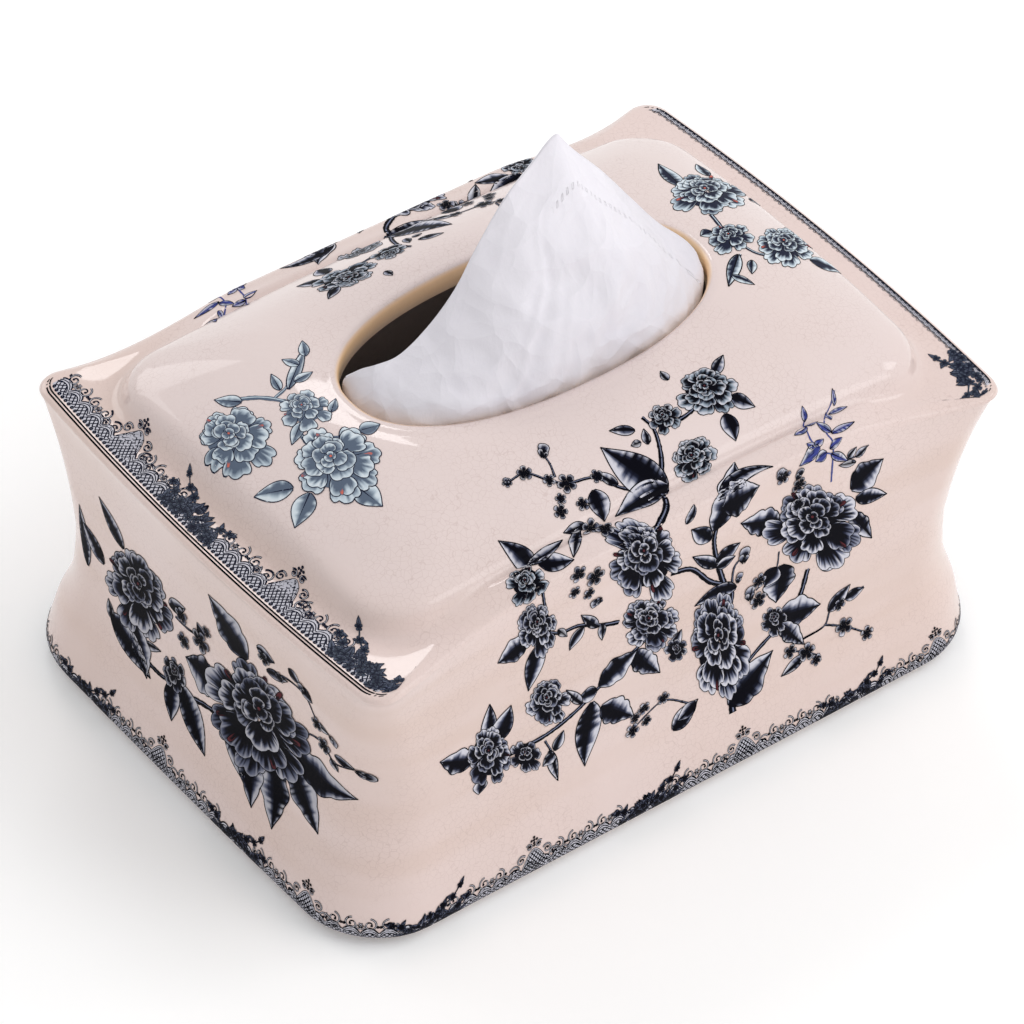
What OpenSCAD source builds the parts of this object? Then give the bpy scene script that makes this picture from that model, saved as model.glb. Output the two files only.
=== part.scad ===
// Tissue box cover of glazed ceramic with its refill pack and one raised sheet.
// Origin: centre of the foot, on the surface that the cover stands on. +X runs along the long side.

/* [Foot and skirt] */
// Length of the skirt at its widest, along X
skirt_length = 230; // [215:1:250]
// Width of the skirt at its widest, along Y
skirt_width = 165; // [155:1:180]
// Radius of the skirt's upright corners
skirt_corner_radius = 24; // [16:1:30]
// Height of the skirt's widest line above the table
skirt_height = 6.5; // [5:0.5:9]
// How far the foot is drawn in from the widest line
foot_inset = 3; // [1.5:0.5:4]
// How far the short ends of the skirt bow outwards
skirt_bow = 1; // [0:0.5:3]

/* [Waist] */
// Height of the narrowest line of the waist
waist_height = 50; // [42:1:58]
// How far the waist is drawn in from the skirt
waist_inset = 6.8; // [4:0.2:9]
// Radius of the waist's upright corners
waist_corner_radius = 21; // [12:1:26]

/* [Rim] */
// Height of the rim at the short ends
rim_height = 96; // [88:1:100]
// Length between the rim's corner tips, along X
rim_length = 221; // [212:1:232]
// Width between the rim's corner tips, along Y
rim_width = 162; // [154:1:168]
// Radius of the rim's corners
rim_corner_radius = 8; // [5:0.5:14]
// How far the rim of the short ends bows outwards
rim_bow = 3.7; // [0:0.1:5]
// Radius that rounds the rim's edge
rim_round = 1.2; // [0.8:0.1:2]
// How far the shoulder of a long side is set in from the rim's tips
shoulder_inset = 8; // [4:0.5:10]
// How far the shoulder of a long side stands above the rim's tips
shoulder_lift = 7.2; // [4:0.2:9]
// Length over which the rim's tips run into the shoulder
shoulder_run = 54; // [40:1:60]

/* [Top panel] */
// Length of the raised panel, along X
panel_length = 190.6; // [182:0.2:194]
// Width of the raised panel, along Y
panel_width = 124.4; // [118:0.2:128]
// Corner radius of the raised panel
panel_corner_radius = 15; // [10:1:20]
// Height of the panel's edge at its corners
panel_corner_height = 103.6; // [102:0.2:106]
// Height of the panel's edge in the middle of the short ends
panel_end_height = 108; // [106:0.2:110]
// Height of the panel's edge in the middle of the long sides
panel_side_height = 107.2; // [106:0.2:109]
// Width of the sloping step round the panel
step_width = 4.6; // [3:0.2:6]

/* [Slot] */
// Length of the slot at its narrowest, along X
slot_length = 118; // [104:1:124]
// Width of the slot at its narrowest, along Y
slot_width = 58; // [50:1:62]
// Height of the slot's lip above the table
slot_height = 120; // [116:0.5:124]
// Radius that rounds the slot's lip
slot_lip_radius = 2; // [1:0.2:3]

/* [Wall] */
// Thickness of the ceramic wall
wall = 5; // [4:0.5:6]

/* [Refill pack] */
// Space left between the pack and the cover's waist
pack_gap = 12; // [8:1:20]
// Height of the stack of folded tissues
stack_height = 55; // [40:1:66]
// Radius of the stack's upright corners
stack_corner_radius = 6; // [3:1:10]
// Thickness of the pack's film
film = 0.4; // [0.3:0.1:0.6]
// Space between the film and the stack
film_gap = 0.3; // [0.3:0.1:1]
// Width of the sealed seam at each end of the film
seam_width = 8; // [5:1:10]
// Length of the torn opening in the film
tear_length = 120; // [104:1:130]
// Width of the torn opening in the film
tear_width = 40; // [32:1:50]

/* [Raised sheet] */
// Thickness of the raised sheet's solid
sheet_thickness = 0.8; // [0.6:0.1:1.2]
// Space between the raised sheet and what it passes
sheet_gap = 1.2; // [0.8:0.1:2]
// Space between the film's top and the raised sheet's foot
sheet_foot_gap = 0.1; // [0.1:0.05:0.2]
// Height of the sheet's tip above the slot's lip
sheet_rise = 56; // [40:1:64]
// How far the sheet bellies out between its edges
sheet_belly = 5; // [2:0.5:7]
// Depth of the sheet's folds
fold_depth = 1.3; // [0.5:0.1:2]

/* [Hidden] */

// Points along one short end, one long side and one corner of every ring
end_steps = 8;
side_steps = 20;
corner_steps = 6;
// Rings between the waist and the rim, and from the panel's edge to the slot
waist_steps = 7;
dome_steps = 5;
// Cuts pass through a face by this much
overrun = 1;

// The skirt's profile: height as a share of waist_height, inset as a share of waist_inset
skirt_shares = [[0.26, 0.17], [0.39, 0.36], [0.52, 0.66], [0.63, 0.84], [0.8, 0.95]];
// How full the slot is: 2 is an ellipse
slot_fullness_share = 2.25;
// Where along the long side the shoulder's lift starts, as a share of the rim's half length
lift_start_share = 0.88;
// Where towards a short end its bow starts, as a share of the ring's half length
bow_start_share = 0.6;
// How much of foot_inset is left halfway up to the skirt's widest line
foot_curve_share = 0.2;
// How fast the waist flares to the rim, sets in and lifts: powers of the way up
flare_share = 2.2;
set_in_share = 1.6;
lift_share = 1.3;
// How fast the dome rises from the panel's edge
dome_share = 1.7;
// Foot of the step: its height on the way from the rim to the panel's corner
step_foot_share = 0.12;
// The lip's crest meets the dome this far out, and turns through the middle of its round here,
// both as shares of slot_lip_radius
lip_reach_share = 2;
lip_turn_share = 1 - cos(45);

// The raised sheet: columns across it, rows below the slot and rows above it
sheet_columns = 26;
low_rows = 5;
high_rows = 12;
// The sheet's free edge: place across, then shares of the slot's half sizes and of sheet_rise
edge_shares = [
    [0, -0.93, 0.33, -0.03],
    [0.1, -0.83, 0.18, 0.05],
    [0.2, -0.75, 0.06, 0.19],
    [0.3, -0.6, 0.03, 0.34],
    [0.42, -0.41, 0.03, 0.58],
    [0.54, -0.11, 0.1, 0.82],
    [0.62, 0.06, 0.16, 1],
    [0.68, 0.2, 0.2, 0.99],
    [0.78, 0.42, 0.18, 0.72],
    [0.88, 0.7, 0.1, 0.42],
    [0.95, 0.88, -0.05, 0.18],
    [1, 0.93, -0.32, -0.02]];
// The sheet follows the slot's near wall between these turns, and gathers by these shares below
sheet_from = 160;
sheet_to = 340;
gather_x_share = 0.52;
gather_y_share = 0.1;
// Row of edge_shares that is the sheet's tip
tip_row = 6;
// The sheet bellies out in this direction, in degrees above the level
belly_rise = 28;
// The sheet's folds run down from its tip, at these turns and this wide in degrees
fold_turns = [-38, -24, -8, 12, 30];
fold_width = 5;
// The folds are at full depth this far down from the tip, and die out towards the free edge
fold_reach_share = 0.5;
fold_fade_share = 4;
// Radius of the tear's ends, as a share of its width
tear_round_share = 0.49;

half = 0.5;
skirt_a = skirt_length * half;
skirt_b = skirt_width * half;
rim_a = rim_length * half;
rim_b = rim_width * half;
panel_a = panel_length * half;
panel_b = panel_width * half;
slot_a = slot_length * half;
slot_b = slot_width * half;
waist_a = skirt_a - waist_inset;
waist_b = skirt_b - waist_inset;

function clamp(t) = max(0, min(1, t));
function ease(t) = let (c = clamp(t)) c * c * (3 - 2 * c);
function mix(p, q, t) = p + (q - p) * t;
function sign_of(v) = v < 0 ? -1 : 1;

// A rounded rectangle of half sizes a and b, anticlockwise from the foot of the +X end
function outline(a, b, r) = concat(
    [for (i = [0:end_steps - 1]) [a, mix(r - b, b - r, i / end_steps)]],
    arc(a - r, b - r, r, 0),
    [for (i = [0:side_steps - 1]) [mix(a - r, r - a, i / side_steps), b]],
    arc(r - a, b - r, r, 90),
    [for (i = [0:end_steps - 1]) [-a, mix(b - r, r - b, i / end_steps)]],
    arc(r - a, r - b, r, 180),
    [for (i = [0:side_steps - 1]) [mix(r - a, a - r, i / side_steps), -b]],
    arc(a - r, r - b, r, 270));
function arc(x, y, r, from) = [
    for (i = [0:corner_steps - 1])
        let (t = from + 90 * i / corner_steps)
        [x + r * cos(t), y + r * sin(t)]];

// One ring of the body: ends bowed outwards, long sides set in and lifted between the rim's tips
function body_ring(a, b, r, z, bow, set_in, lift) = [
    for (p = outline(a, b, r))
        let (
            reach = (rim_a - abs(p.x)) / shoulder_run,
            in = sin(90 * clamp(reach)),
            up = ease((rim_a * lift_start_share - abs(p.x)) / shoulder_run),
            side = clamp(abs(p.y) / b),
            end = clamp((abs(p.x) / a - bow_start_share) / (1 - bow_start_share))
        )
        [
            p.x + sign_of(p.x) * bow * (1 - side * side) * end,
            p.y * (1 - set_in * in / b),
            z + lift * up * side
        ]];

// The panel's edge at half sizes a and b, crowned towards the middle of each side
function panel_ring(a, b, r, drop) = [
    for (p = outline(a, b, r))
        let (x = p.x / a, y = p.y / b)
        [
            p.x,
            p.y,
            panel_corner_height - drop
            + (panel_end_height - panel_corner_height) * (1 - y * y)
            + (panel_side_height - panel_corner_height) * (1 - x * x)
        ]];

// A point at turn t of the slot's full oval, with half sizes a and b
function oval(a, b, t, z) =
    let (c = cos(t), s = sin(t), power = 2 / slot_fullness_share)
    [a * sign_of(c) * pow(abs(c), power), b * sign_of(s) * pow(abs(s), power), z];

// The slot's outline, grown by a width, with one point facing each point of the panel's edge
function slot_ring(grow, z) = [
    for (p = outline(panel_a, panel_b, panel_corner_radius))
        oval(slot_a + grow, slot_b + grow, atan2(p.y / panel_b, p.x / panel_a), z)];

// The dome between two rings, rising quickly at first
function dome_ring(low, high, t) = [
    for (i = [0:len(low) - 1])
        let (up = 1 - pow(1 - t, dome_share))
        [
            mix(low[i].x, high[i].x, t),
            mix(low[i].y, high[i].y, t),
            mix(low[i].z, high[i].z, up)
        ]];

// One ring of the skirt or waist on the outside (skin = 0) or inside (skin = wall)
function skirt_ring(z, inset, skin) =
    let (down = 1 - clamp(z / waist_height))
    body_ring(
        skirt_a - inset - skin, skirt_b - inset - skin,
        mix(waist_corner_radius, skirt_corner_radius, down) - skin * half,
        z, skirt_bow, 0, 0);
function flare_ring(t, skin) =
    let (out = pow(t, flare_share))
    body_ring(
        mix(waist_a, rim_a, out) - skin, mix(waist_b, rim_b, out) - skin,
        mix(waist_corner_radius, rim_corner_radius, t),
        mix(waist_height, rim_height, t),
        mix(skirt_bow, rim_bow, out),
        shoulder_inset * pow(t, set_in_share), shoulder_lift * pow(t, lift_share));

rim_start_share = 1 - (rim_round + rim_round) / (rim_height - waist_height);
step_foot_height = mix(rim_height, panel_corner_height, step_foot_share);
lip_turn = slot_lip_radius * lip_turn_share;
lip_height = slot_height - slot_lip_radius;
ceiling = slot_height - wall;

outer_rings = concat(
    [skirt_ring(0, foot_inset, 0)],
    [skirt_ring(skirt_height * half, foot_inset * foot_curve_share, 0)],
    [skirt_ring(skirt_height, 0, 0)],
    [for (s = skirt_shares) skirt_ring(waist_height * s[0], waist_inset * s[1], 0)],
    [for (i = [0:waist_steps]) flare_ring(rim_start_share * i / waist_steps, 0)],
    [body_ring(rim_a, rim_b, rim_corner_radius, rim_height - rim_round, rim_bow,
        shoulder_inset, shoulder_lift)],
    [body_ring(rim_a - rim_round, rim_b - rim_round, rim_corner_radius, rim_height, rim_bow,
        shoulder_inset, shoulder_lift)],
    [panel_foot(step_width + rim_round, 0)],
    [panel_foot(step_width, 0)],
    [panel_ring(panel_a + rim_round, panel_b + rim_round, panel_corner_radius + rim_round,
        rim_round)],
    [for (i = [0:dome_steps])
        dome_ring(panel_ring(panel_a, panel_b, panel_corner_radius, 0),
            slot_ring(slot_lip_radius * lip_reach_share, slot_height - lip_turn),
            i / dome_steps)],
    [slot_ring(slot_lip_radius, slot_height)],
    [slot_ring(lip_turn, slot_height - lip_turn)],
    [slot_ring(0, lip_height)]);

// The foot of the step that carries the panel
function panel_foot(out, drop) =
    body_ring(panel_a + out, panel_b + out, panel_corner_radius + out,
        step_foot_height - drop, rim_bow * half, 0, shoulder_lift);

inner_panel = panel_ring(panel_a - wall, panel_b - wall, panel_corner_radius - wall * half, wall);
inner_rings = concat(
    [slot_ring(0, ceiling)],
    [for (i = [dome_steps - 1:-1:0])
        dome_ring(inner_panel, slot_ring(wall, ceiling), i / dome_steps)],
    [panel_foot(-wall * half, wall)],
    [for (i = [waist_steps - 1:-1:0]) flare_ring(rim_start_share * i / waist_steps, wall)],
    [for (i = [len(skirt_shares) - 1:-1:0])
        skirt_ring(waist_height * skirt_shares[i][0], waist_inset * skirt_shares[i][1], wall)],
    [skirt_ring(skirt_height, 0, wall)],
    [skirt_ring(0, foot_inset * half, wall)]);

// Joins rings of equal length into a closed tube that runs back into its first ring
module ring_body(rings) {
    n = len(rings[0]);
    m = len(rings);
    points = [for (r = rings) each r];
    faces = [
        for (j = [0:m - 1], i = [0:n - 1])
            let (
                k = (i + 1) % n,
                l = (j + 1) % m,
                p = j * n + i,
                q = j * n + k,
                s = l * n + k,
                t = l * n + i
            )
            each [[p, s, q], [p, t, s]]];
    polyhedron(points, faces);
}

module cover_shell() {
    color("antiquewhite")
        ring_body(concat(outer_rings, inner_rings));
}

stack_a = waist_a - wall - pack_gap;
stack_b = waist_b - wall - pack_gap;
stack_top = film + stack_height;
sheet_a = slot_a - sheet_gap;
sheet_b = slot_b - sheet_gap;

// Keeps a point of the sheet inside the slot's narrowest outline
function inside_slot(p) =
    let (q = pow(
        pow(abs(p.x) / sheet_a, slot_fullness_share) + pow(abs(p.y) / sheet_b, slot_fullness_share),
        1 / slot_fullness_share))
    q > 1 ? [p.x / q, p.y / q, p.z] : p;

function table(s, column) = lookup(s, [for (e = edge_shares) [e[0], e[column]]]);
function sheet_edge(s) = inside_slot([
    slot_a * table(s, 1), slot_b * table(s, 2), slot_height + sheet_rise * table(s, 3)]);
function sheet_wall(s) = oval(sheet_a, sheet_b, mix(sheet_from, sheet_to, s), ceiling);
function sheet_root(s) =
    let (w = sheet_wall(s))
    [w.x * gather_x_share, w.y * gather_y_share, stack_top + film_gap + film + sheet_foot_gap];

// How far the folds push the sheet out at a point: ridges that run down from the tip
function fold(p) =
    let (
        tip = sheet_edge(edge_shares[tip_row][0]),
        down = norm(p - tip),
        turn = atan2(p.x - tip.x, tip.z - p.z),
        near = ease(down / (sheet_rise * fold_reach_share))
    )
    fold_depth * near * sum([for (f = fold_turns) exp(-pow((turn - f) / fold_width, 2))]);
function sum(v, i = 0) = i < len(v) ? v[i] + sum(v, i + 1) : 0;

// The way in which the sheet bellies out: to the front and a little up
belly_way = [0, -cos(belly_rise), sin(belly_rise)];

// Row 0 lies on the stack, row low_rows in the slot, and the last row is the free edge
function sheet_point(s, row) =
    row <= low_rows
    ? let (t = ease(row / low_rows), r = sheet_root(s), w = sheet_wall(s))
        [mix(r.x, w.x, t), mix(r.y, w.y, t), mix(r.z, w.z, row / low_rows)]
    : let (
        t = (row - low_rows) / high_rows,
        w = sheet_wall(s),
        e = sheet_edge(s),
        out = sheet_belly * sin(180 * t) * sin(180 * s),
        flat = mix(w, e, t) + belly_way * out
    )
        inside_slot(flat + belly_way * fold(flat) * (1 - pow(t, fold_fade_share)));

module tissue_sheet() {
    rows = low_rows + high_rows;
    n = sheet_columns + 1;
    front = [for (j = [0:rows]) [for (i = [0:sheet_columns]) sheet_point(i / sheet_columns, j)]];
    back = [
        for (j = [0:rows]) [
            for (i = [0:sheet_columns])
                let (
                    along = front[j][min(i + 1, sheet_columns)] - front[j][max(i - 1, 0)],
                    up = front[min(j + 1, rows)][i] - front[max(j - 1, 0)][i],
                    out = cross(up, along)
                )
                front[j][i] + out / norm(out) * sheet_thickness]];
    points = concat([for (r = front) each r], [for (r = back) each r]);
    count = n * (rows + 1);
    rim = concat(
        [for (i = [0:sheet_columns]) i],
        [for (j = [1:rows]) j * n + sheet_columns],
        [for (i = [sheet_columns - 1:-1:0]) rows * n + i],
        [for (j = [rows - 1:-1:1]) j * n]);
    faces = concat(
        [
            for (j = [0:rows - 1], i = [0:sheet_columns - 1])
                let (p = j * n + i)
                each [
                    [p, p + n, p + n + 1],
                    [p, p + n + 1, p + 1],
                    [count + p, count + p + n + 1, count + p + n],
                    [count + p, count + p + 1, count + p + n + 1]]
        ],
        [
            for (k = [0:len(rim) - 1])
                let (p = rim[k], q = rim[(k + 1) % len(rim)])
                each [[p, q, count + q], [p, count + q, count + p]]
        ]);
    color("white")
        polyhedron(points, faces);
}

// The folded tissues that are still in the pack
module tissue_stack() {
    color("whitesmoke")
        translate([0, 0, film])
            linear_extrude(stack_height)
                polygon(outline(stack_a, stack_b, stack_corner_radius));
}

// The pack's film, torn open on top, with a sealed seam folded flat against each end
module refill_pouch() {
    seam_thickness = film + film;
    a = stack_a + film_gap;
    b = stack_b + film_gap;
    r = stack_corner_radius + film_gap;
    tall = film + stack_height + film_gap;
    color("aliceblue")
        difference() {
            union() {
                linear_extrude(tall + film)
                    polygon(outline(a + film, b + film, r + film));
                for (end = [-1, 1])
                    translate([end * (a + film + film), 0, (tall - seam_width) * half])
                        cube([seam_thickness, 2 * (b - r), seam_width], center = true);
            }
            translate([0, 0, film])
                linear_extrude(tall - film)
                    polygon(outline(a, b, r));
            translate([0, 0, tall - overrun])
                linear_extrude(film + 2 * overrun)
                    polygon(outline(tear_length * half, tear_width * half, tear_width * tear_round_share));
        }
}

cover_shell();
tissue_sheet();
tissue_stack();
refill_pouch();
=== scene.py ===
"""Dresses the tissue box cover: glazed body, painted sprays and lace borders, tissue, refill and studio."""

import math
import random

import bpy
import numpy as np
from bpy.props import FloatProperty, FloatVectorProperty, IntProperty, PointerProperty
from mathutils import Matrix, Vector
from mathutils.bvhtree import BVHTree
from mathutils.geometry import barycentric_transform


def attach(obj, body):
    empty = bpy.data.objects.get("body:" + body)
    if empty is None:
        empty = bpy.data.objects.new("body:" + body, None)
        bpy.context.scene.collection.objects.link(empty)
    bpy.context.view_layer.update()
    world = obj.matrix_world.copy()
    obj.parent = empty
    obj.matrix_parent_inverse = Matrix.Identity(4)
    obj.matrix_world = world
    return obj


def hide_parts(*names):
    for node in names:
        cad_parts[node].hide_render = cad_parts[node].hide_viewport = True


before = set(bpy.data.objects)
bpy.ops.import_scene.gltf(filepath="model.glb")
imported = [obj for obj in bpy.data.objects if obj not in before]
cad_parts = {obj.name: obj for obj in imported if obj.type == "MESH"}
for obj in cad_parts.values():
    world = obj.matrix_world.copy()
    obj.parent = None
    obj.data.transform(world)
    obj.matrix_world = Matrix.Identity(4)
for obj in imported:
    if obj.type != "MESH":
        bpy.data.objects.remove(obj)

bl_info = {
    "name": "Tissue Box Cover",
    "version": (1, 0, 0),
    "blender": (4, 5, 0),
    "location": "View3D > Sidebar > Tissue Cover",
    "description": "Builds a glazed tissue box cover with painted peony sprays and lace borders",
    "category": "Object",
}

MM = 0.001
TINY, TINY_AREA = 1e-9, 1e-12        # keep a division by a length or by an area from failing at zero


def length(name, millimetres, description):
    """A property for a length, given here in millimetres."""
    return FloatProperty(name=name, default=millimetres * MM, unit="LENGTH", description=description)


def linear(red, green, blue):
    """A colour as 0 to 255 steps on screen, turned into the values that shaders use."""
    shares = [c / 255 for c in (red, green, blue)]
    return tuple(c / 12.92 if c <= 0.04045 else ((c + 0.055) / 1.055) ** 2.4 for c in shares)


def tint(name, colour, description):
    """A property for a colour, given as 0 to 255 steps on screen."""
    return FloatVectorProperty(
        name=name, default=linear(*colour), size=3, subtype="COLOR", min=0, max=1, description=description)


class CoverSizes(bpy.types.PropertyGroup):
    """Sizes of the glazed cover."""

    skirt_length: length("Skirt length", 230, "Length of the skirt at its widest ring")
    skirt_width: length("Skirt width", 165, "Width of the skirt at its widest ring")
    skirt_corner: length("Skirt corner", 24, "Corner radius of the skirt")
    skirt_height: length("Skirt height", 6.5, "Height of the skirt's widest ring")
    foot_inset: length("Foot inset", 3, "How far the foot stands back under the skirt")
    skirt_bow: length("Skirt bow", 1, "Bow of the skirt's short sides")
    waist_height: length("Waist height", 50, "Height of the waist")
    waist_inset: length("Waist inset", 6.8, "How far the waist stands back from the skirt")
    waist_corner: length("Waist corner", 21, "Corner radius at the waist")
    rim_height: length("Rim height", 96, "Height of the rim at its corners")
    rim_length: length("Rim length", 221, "Length over the rim's corners")
    rim_width: length("Rim width", 162, "Width over the rim's corners")
    rim_corner: length("Rim corner", 8, "Corner radius of the rim")
    rim_bow: length("Rim bow", 3.7, "Bow of the rim's short sides")
    rim_round: length("Rim rounding", 1.2, "Rounding of the rim's edge")
    shoulder_inset: length("Shoulder inset", 8, "How far the long sides draw in between the corners")
    shoulder_lift: length("Shoulder lift", 7.2, "How far the long sides' edge rises between the corners")
    shoulder_run: length("Shoulder run", 54, "Length over which the long sides draw in")
    panel_length: length("Panel length", 190.6, "Length of the raised panel")
    panel_width: length("Panel width", 124.4, "Width of the raised panel")
    panel_corner: length("Panel corner", 15, "Corner radius of the raised panel")
    panel_corner_height: length("Panel corner height", 103.6, "Height of the panel's corners")
    panel_end_height: length("Panel end height", 108, "Height of the panel at its short sides' middle")
    panel_side_height: length("Panel side height", 107.2, "Height of the panel at its long sides' middle")
    step_width: length("Step width", 4.6, "Width of the step round the panel")
    slot_length: length("Slot length", 118, "Length of the slot")
    slot_width: length("Slot width", 58, "Width of the slot")
    slot_height: length("Slot height", 120, "Height of the slot's lip")
    lip_radius: length("Lip radius", 2, "Rounding of the slot's lip")
    lip_depth: length("Lip depth", 8, "Height of the slot's wall")
    wall: length("Wall", 5, "Thickness of the glazed wall")
    spacing: length("Mesh spacing", 2, "Spacing of the surface's rings")


class GlazeLook(bpy.types.PropertyGroup):
    """Colours of the glaze."""

    cream: tint("Glaze", (225, 205, 200), "The pinkish cream of the glaze")
    # Painted light: the paler, cooler cream on top stands in for the light and sheen that the top catches
    # from above; the glaze itself is the same.
    top: tint("Glaze on top", (224, 209, 207), "The cooler cream of the glaze on top")
    # This colour serves two purposes: random warmer patches where the glaze pools, and painted shade in the
    # long streaks up the sides.
    pooled_glaze_and_shade: tint("Pooled glaze", (205, 176, 158), "The warmer cream where the glaze lies thick")
    craze: tint("Craze lines", (170, 140, 132), "The fine network of lines in the glaze")
    # The peach of the slot's wall is painted light: warm light bounced about inside the slot, on the same
    # cream glaze.
    lip: tint("Slot wall", (244, 204, 158), "The peach glaze inside the slot")
    # The dark inside is painted shade: the inner wall lies in the cover's own shadow.
    inside: tint("Inside", (120, 108, 100), "The thin dark glaze inside the cover")
    foot: tint("Foot", (200, 180, 164), "The bare clay under the foot")
    cell: length("Craze cell", 1.7, "Width of a cell of the craze network")


class PaintLook(bpy.types.PropertyGroup):
    """Colours of the painted decoration."""

    ink: tint("Ink", (5, 5, 14), "The darkest blue black")
    deep: tint("Deep blue", (32, 36, 56), "The dark blue of petals and leaves")
    mist: tint("Mist blue", (112, 118, 142), "The middle blue")
    pale: tint("Pale blue", (208, 207, 216), "The pale edges of petals")
    teal: tint("Pale teal", (196, 210, 220), "The pale teal of the sprays on top")
    rust: tint("Rust", (84, 38, 44), "The small red brown accents")
    coral: tint("Coral", (206, 108, 92), "The brighter accents of the sprays on top")
    slate: tint("Slate", (92, 104, 122), "The dark of the sprays on top")
    sky: tint("Sky blue", (154, 168, 182), "The middle tone of the sprays on top")
    violet: tint("Violet", (62, 70, 140), "The violet blue of the small sprig")


class StudioView(bpy.types.PropertyGroup):
    """Where the camera stands."""

    azimuth: FloatProperty(
        name="Azimuth", default=math.radians(-40.4), subtype="ANGLE", description="Turn round the cover")
    elevation: FloatProperty(
        name="Elevation", default=math.radians(42.39), subtype="ANGLE", description="Height angle")
    roll: FloatProperty(
        name="Roll", default=math.radians(3.67), subtype="ANGLE", description="Tilt of the picture")
    distance: length("Distance", 1684.8, "Distance from the target")
    target: FloatVectorProperty(
        name="Target", default=(-0.01214, -0.0137, 0.06474), subtype="XYZ", unit="LENGTH",
        description="Point that the camera looks at")
    lens: FloatProperty(
        name="Lens", default=211.6, unit="CAMERA", description="Focal length on a 36 mm sensor")


class TissueSizes(bpy.types.PropertyGroup):
    """Sizes and colour of the tissue and its refill pack."""

    stack_height: length("Stack height", 55, "Height of the stack of tissues")
    stack_corner: length("Stack corner", 6, "Corner radius of the stack")
    pack_gap: length("Pack gap", 12, "Space between the pack and the cover's wall")
    film: length("Film", 0.4, "Thickness of the film")
    film_gap: length("Film gap", 0.3, "Space between the stack and what lies on it")
    foot_gap: length("Foot gap", 0.1, "Space between the film's top and the sheet's foot")
    sheet_gap: length("Sheet gap", 1.2, "Space between the sheet and the slot")
    sheet_rise: length("Sheet rise", 56, "How far the sheet's tip stands above the lip")
    sheet_belly: length("Sheet belly", 5, "How far the sheet bellies out above the slot")
    sheet_thickness: length("Sheet thickness", 0.5, "Thickness of the folded sheet")
    paper: tint("Paper", (224, 221, 228), "The white of the tissue")
    cloud: tint("Film colour", (214, 222, 228), "The colour of the film")


def clamp(t):
    """Keeps a share between 0 and 1."""
    return np.clip(t, 0.0, 1.0)


def ease(t):
    """Turns a share into one that starts and ends level."""
    t = clamp(t)
    return t * t * (3 - 2 * t)


def mix(low, high, t):
    """What lies between low at t = 0 and high at t = 1."""
    return low + (high - low) * t


def headings(angles):
    """Unit vectors in the plane at angles in radians."""
    return np.stack([np.cos(angles), np.sin(angles)], 1)


def seeded_waves(seed, count, low, high):
    """Random wave numbers, phases and turns for a sum of waves."""
    chance = random.Random(seed)
    return [(chance.uniform(low, high), chance.uniform(0, math.tau), chance.uniform(0, math.tau))
            for _ in range(count)]


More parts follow.
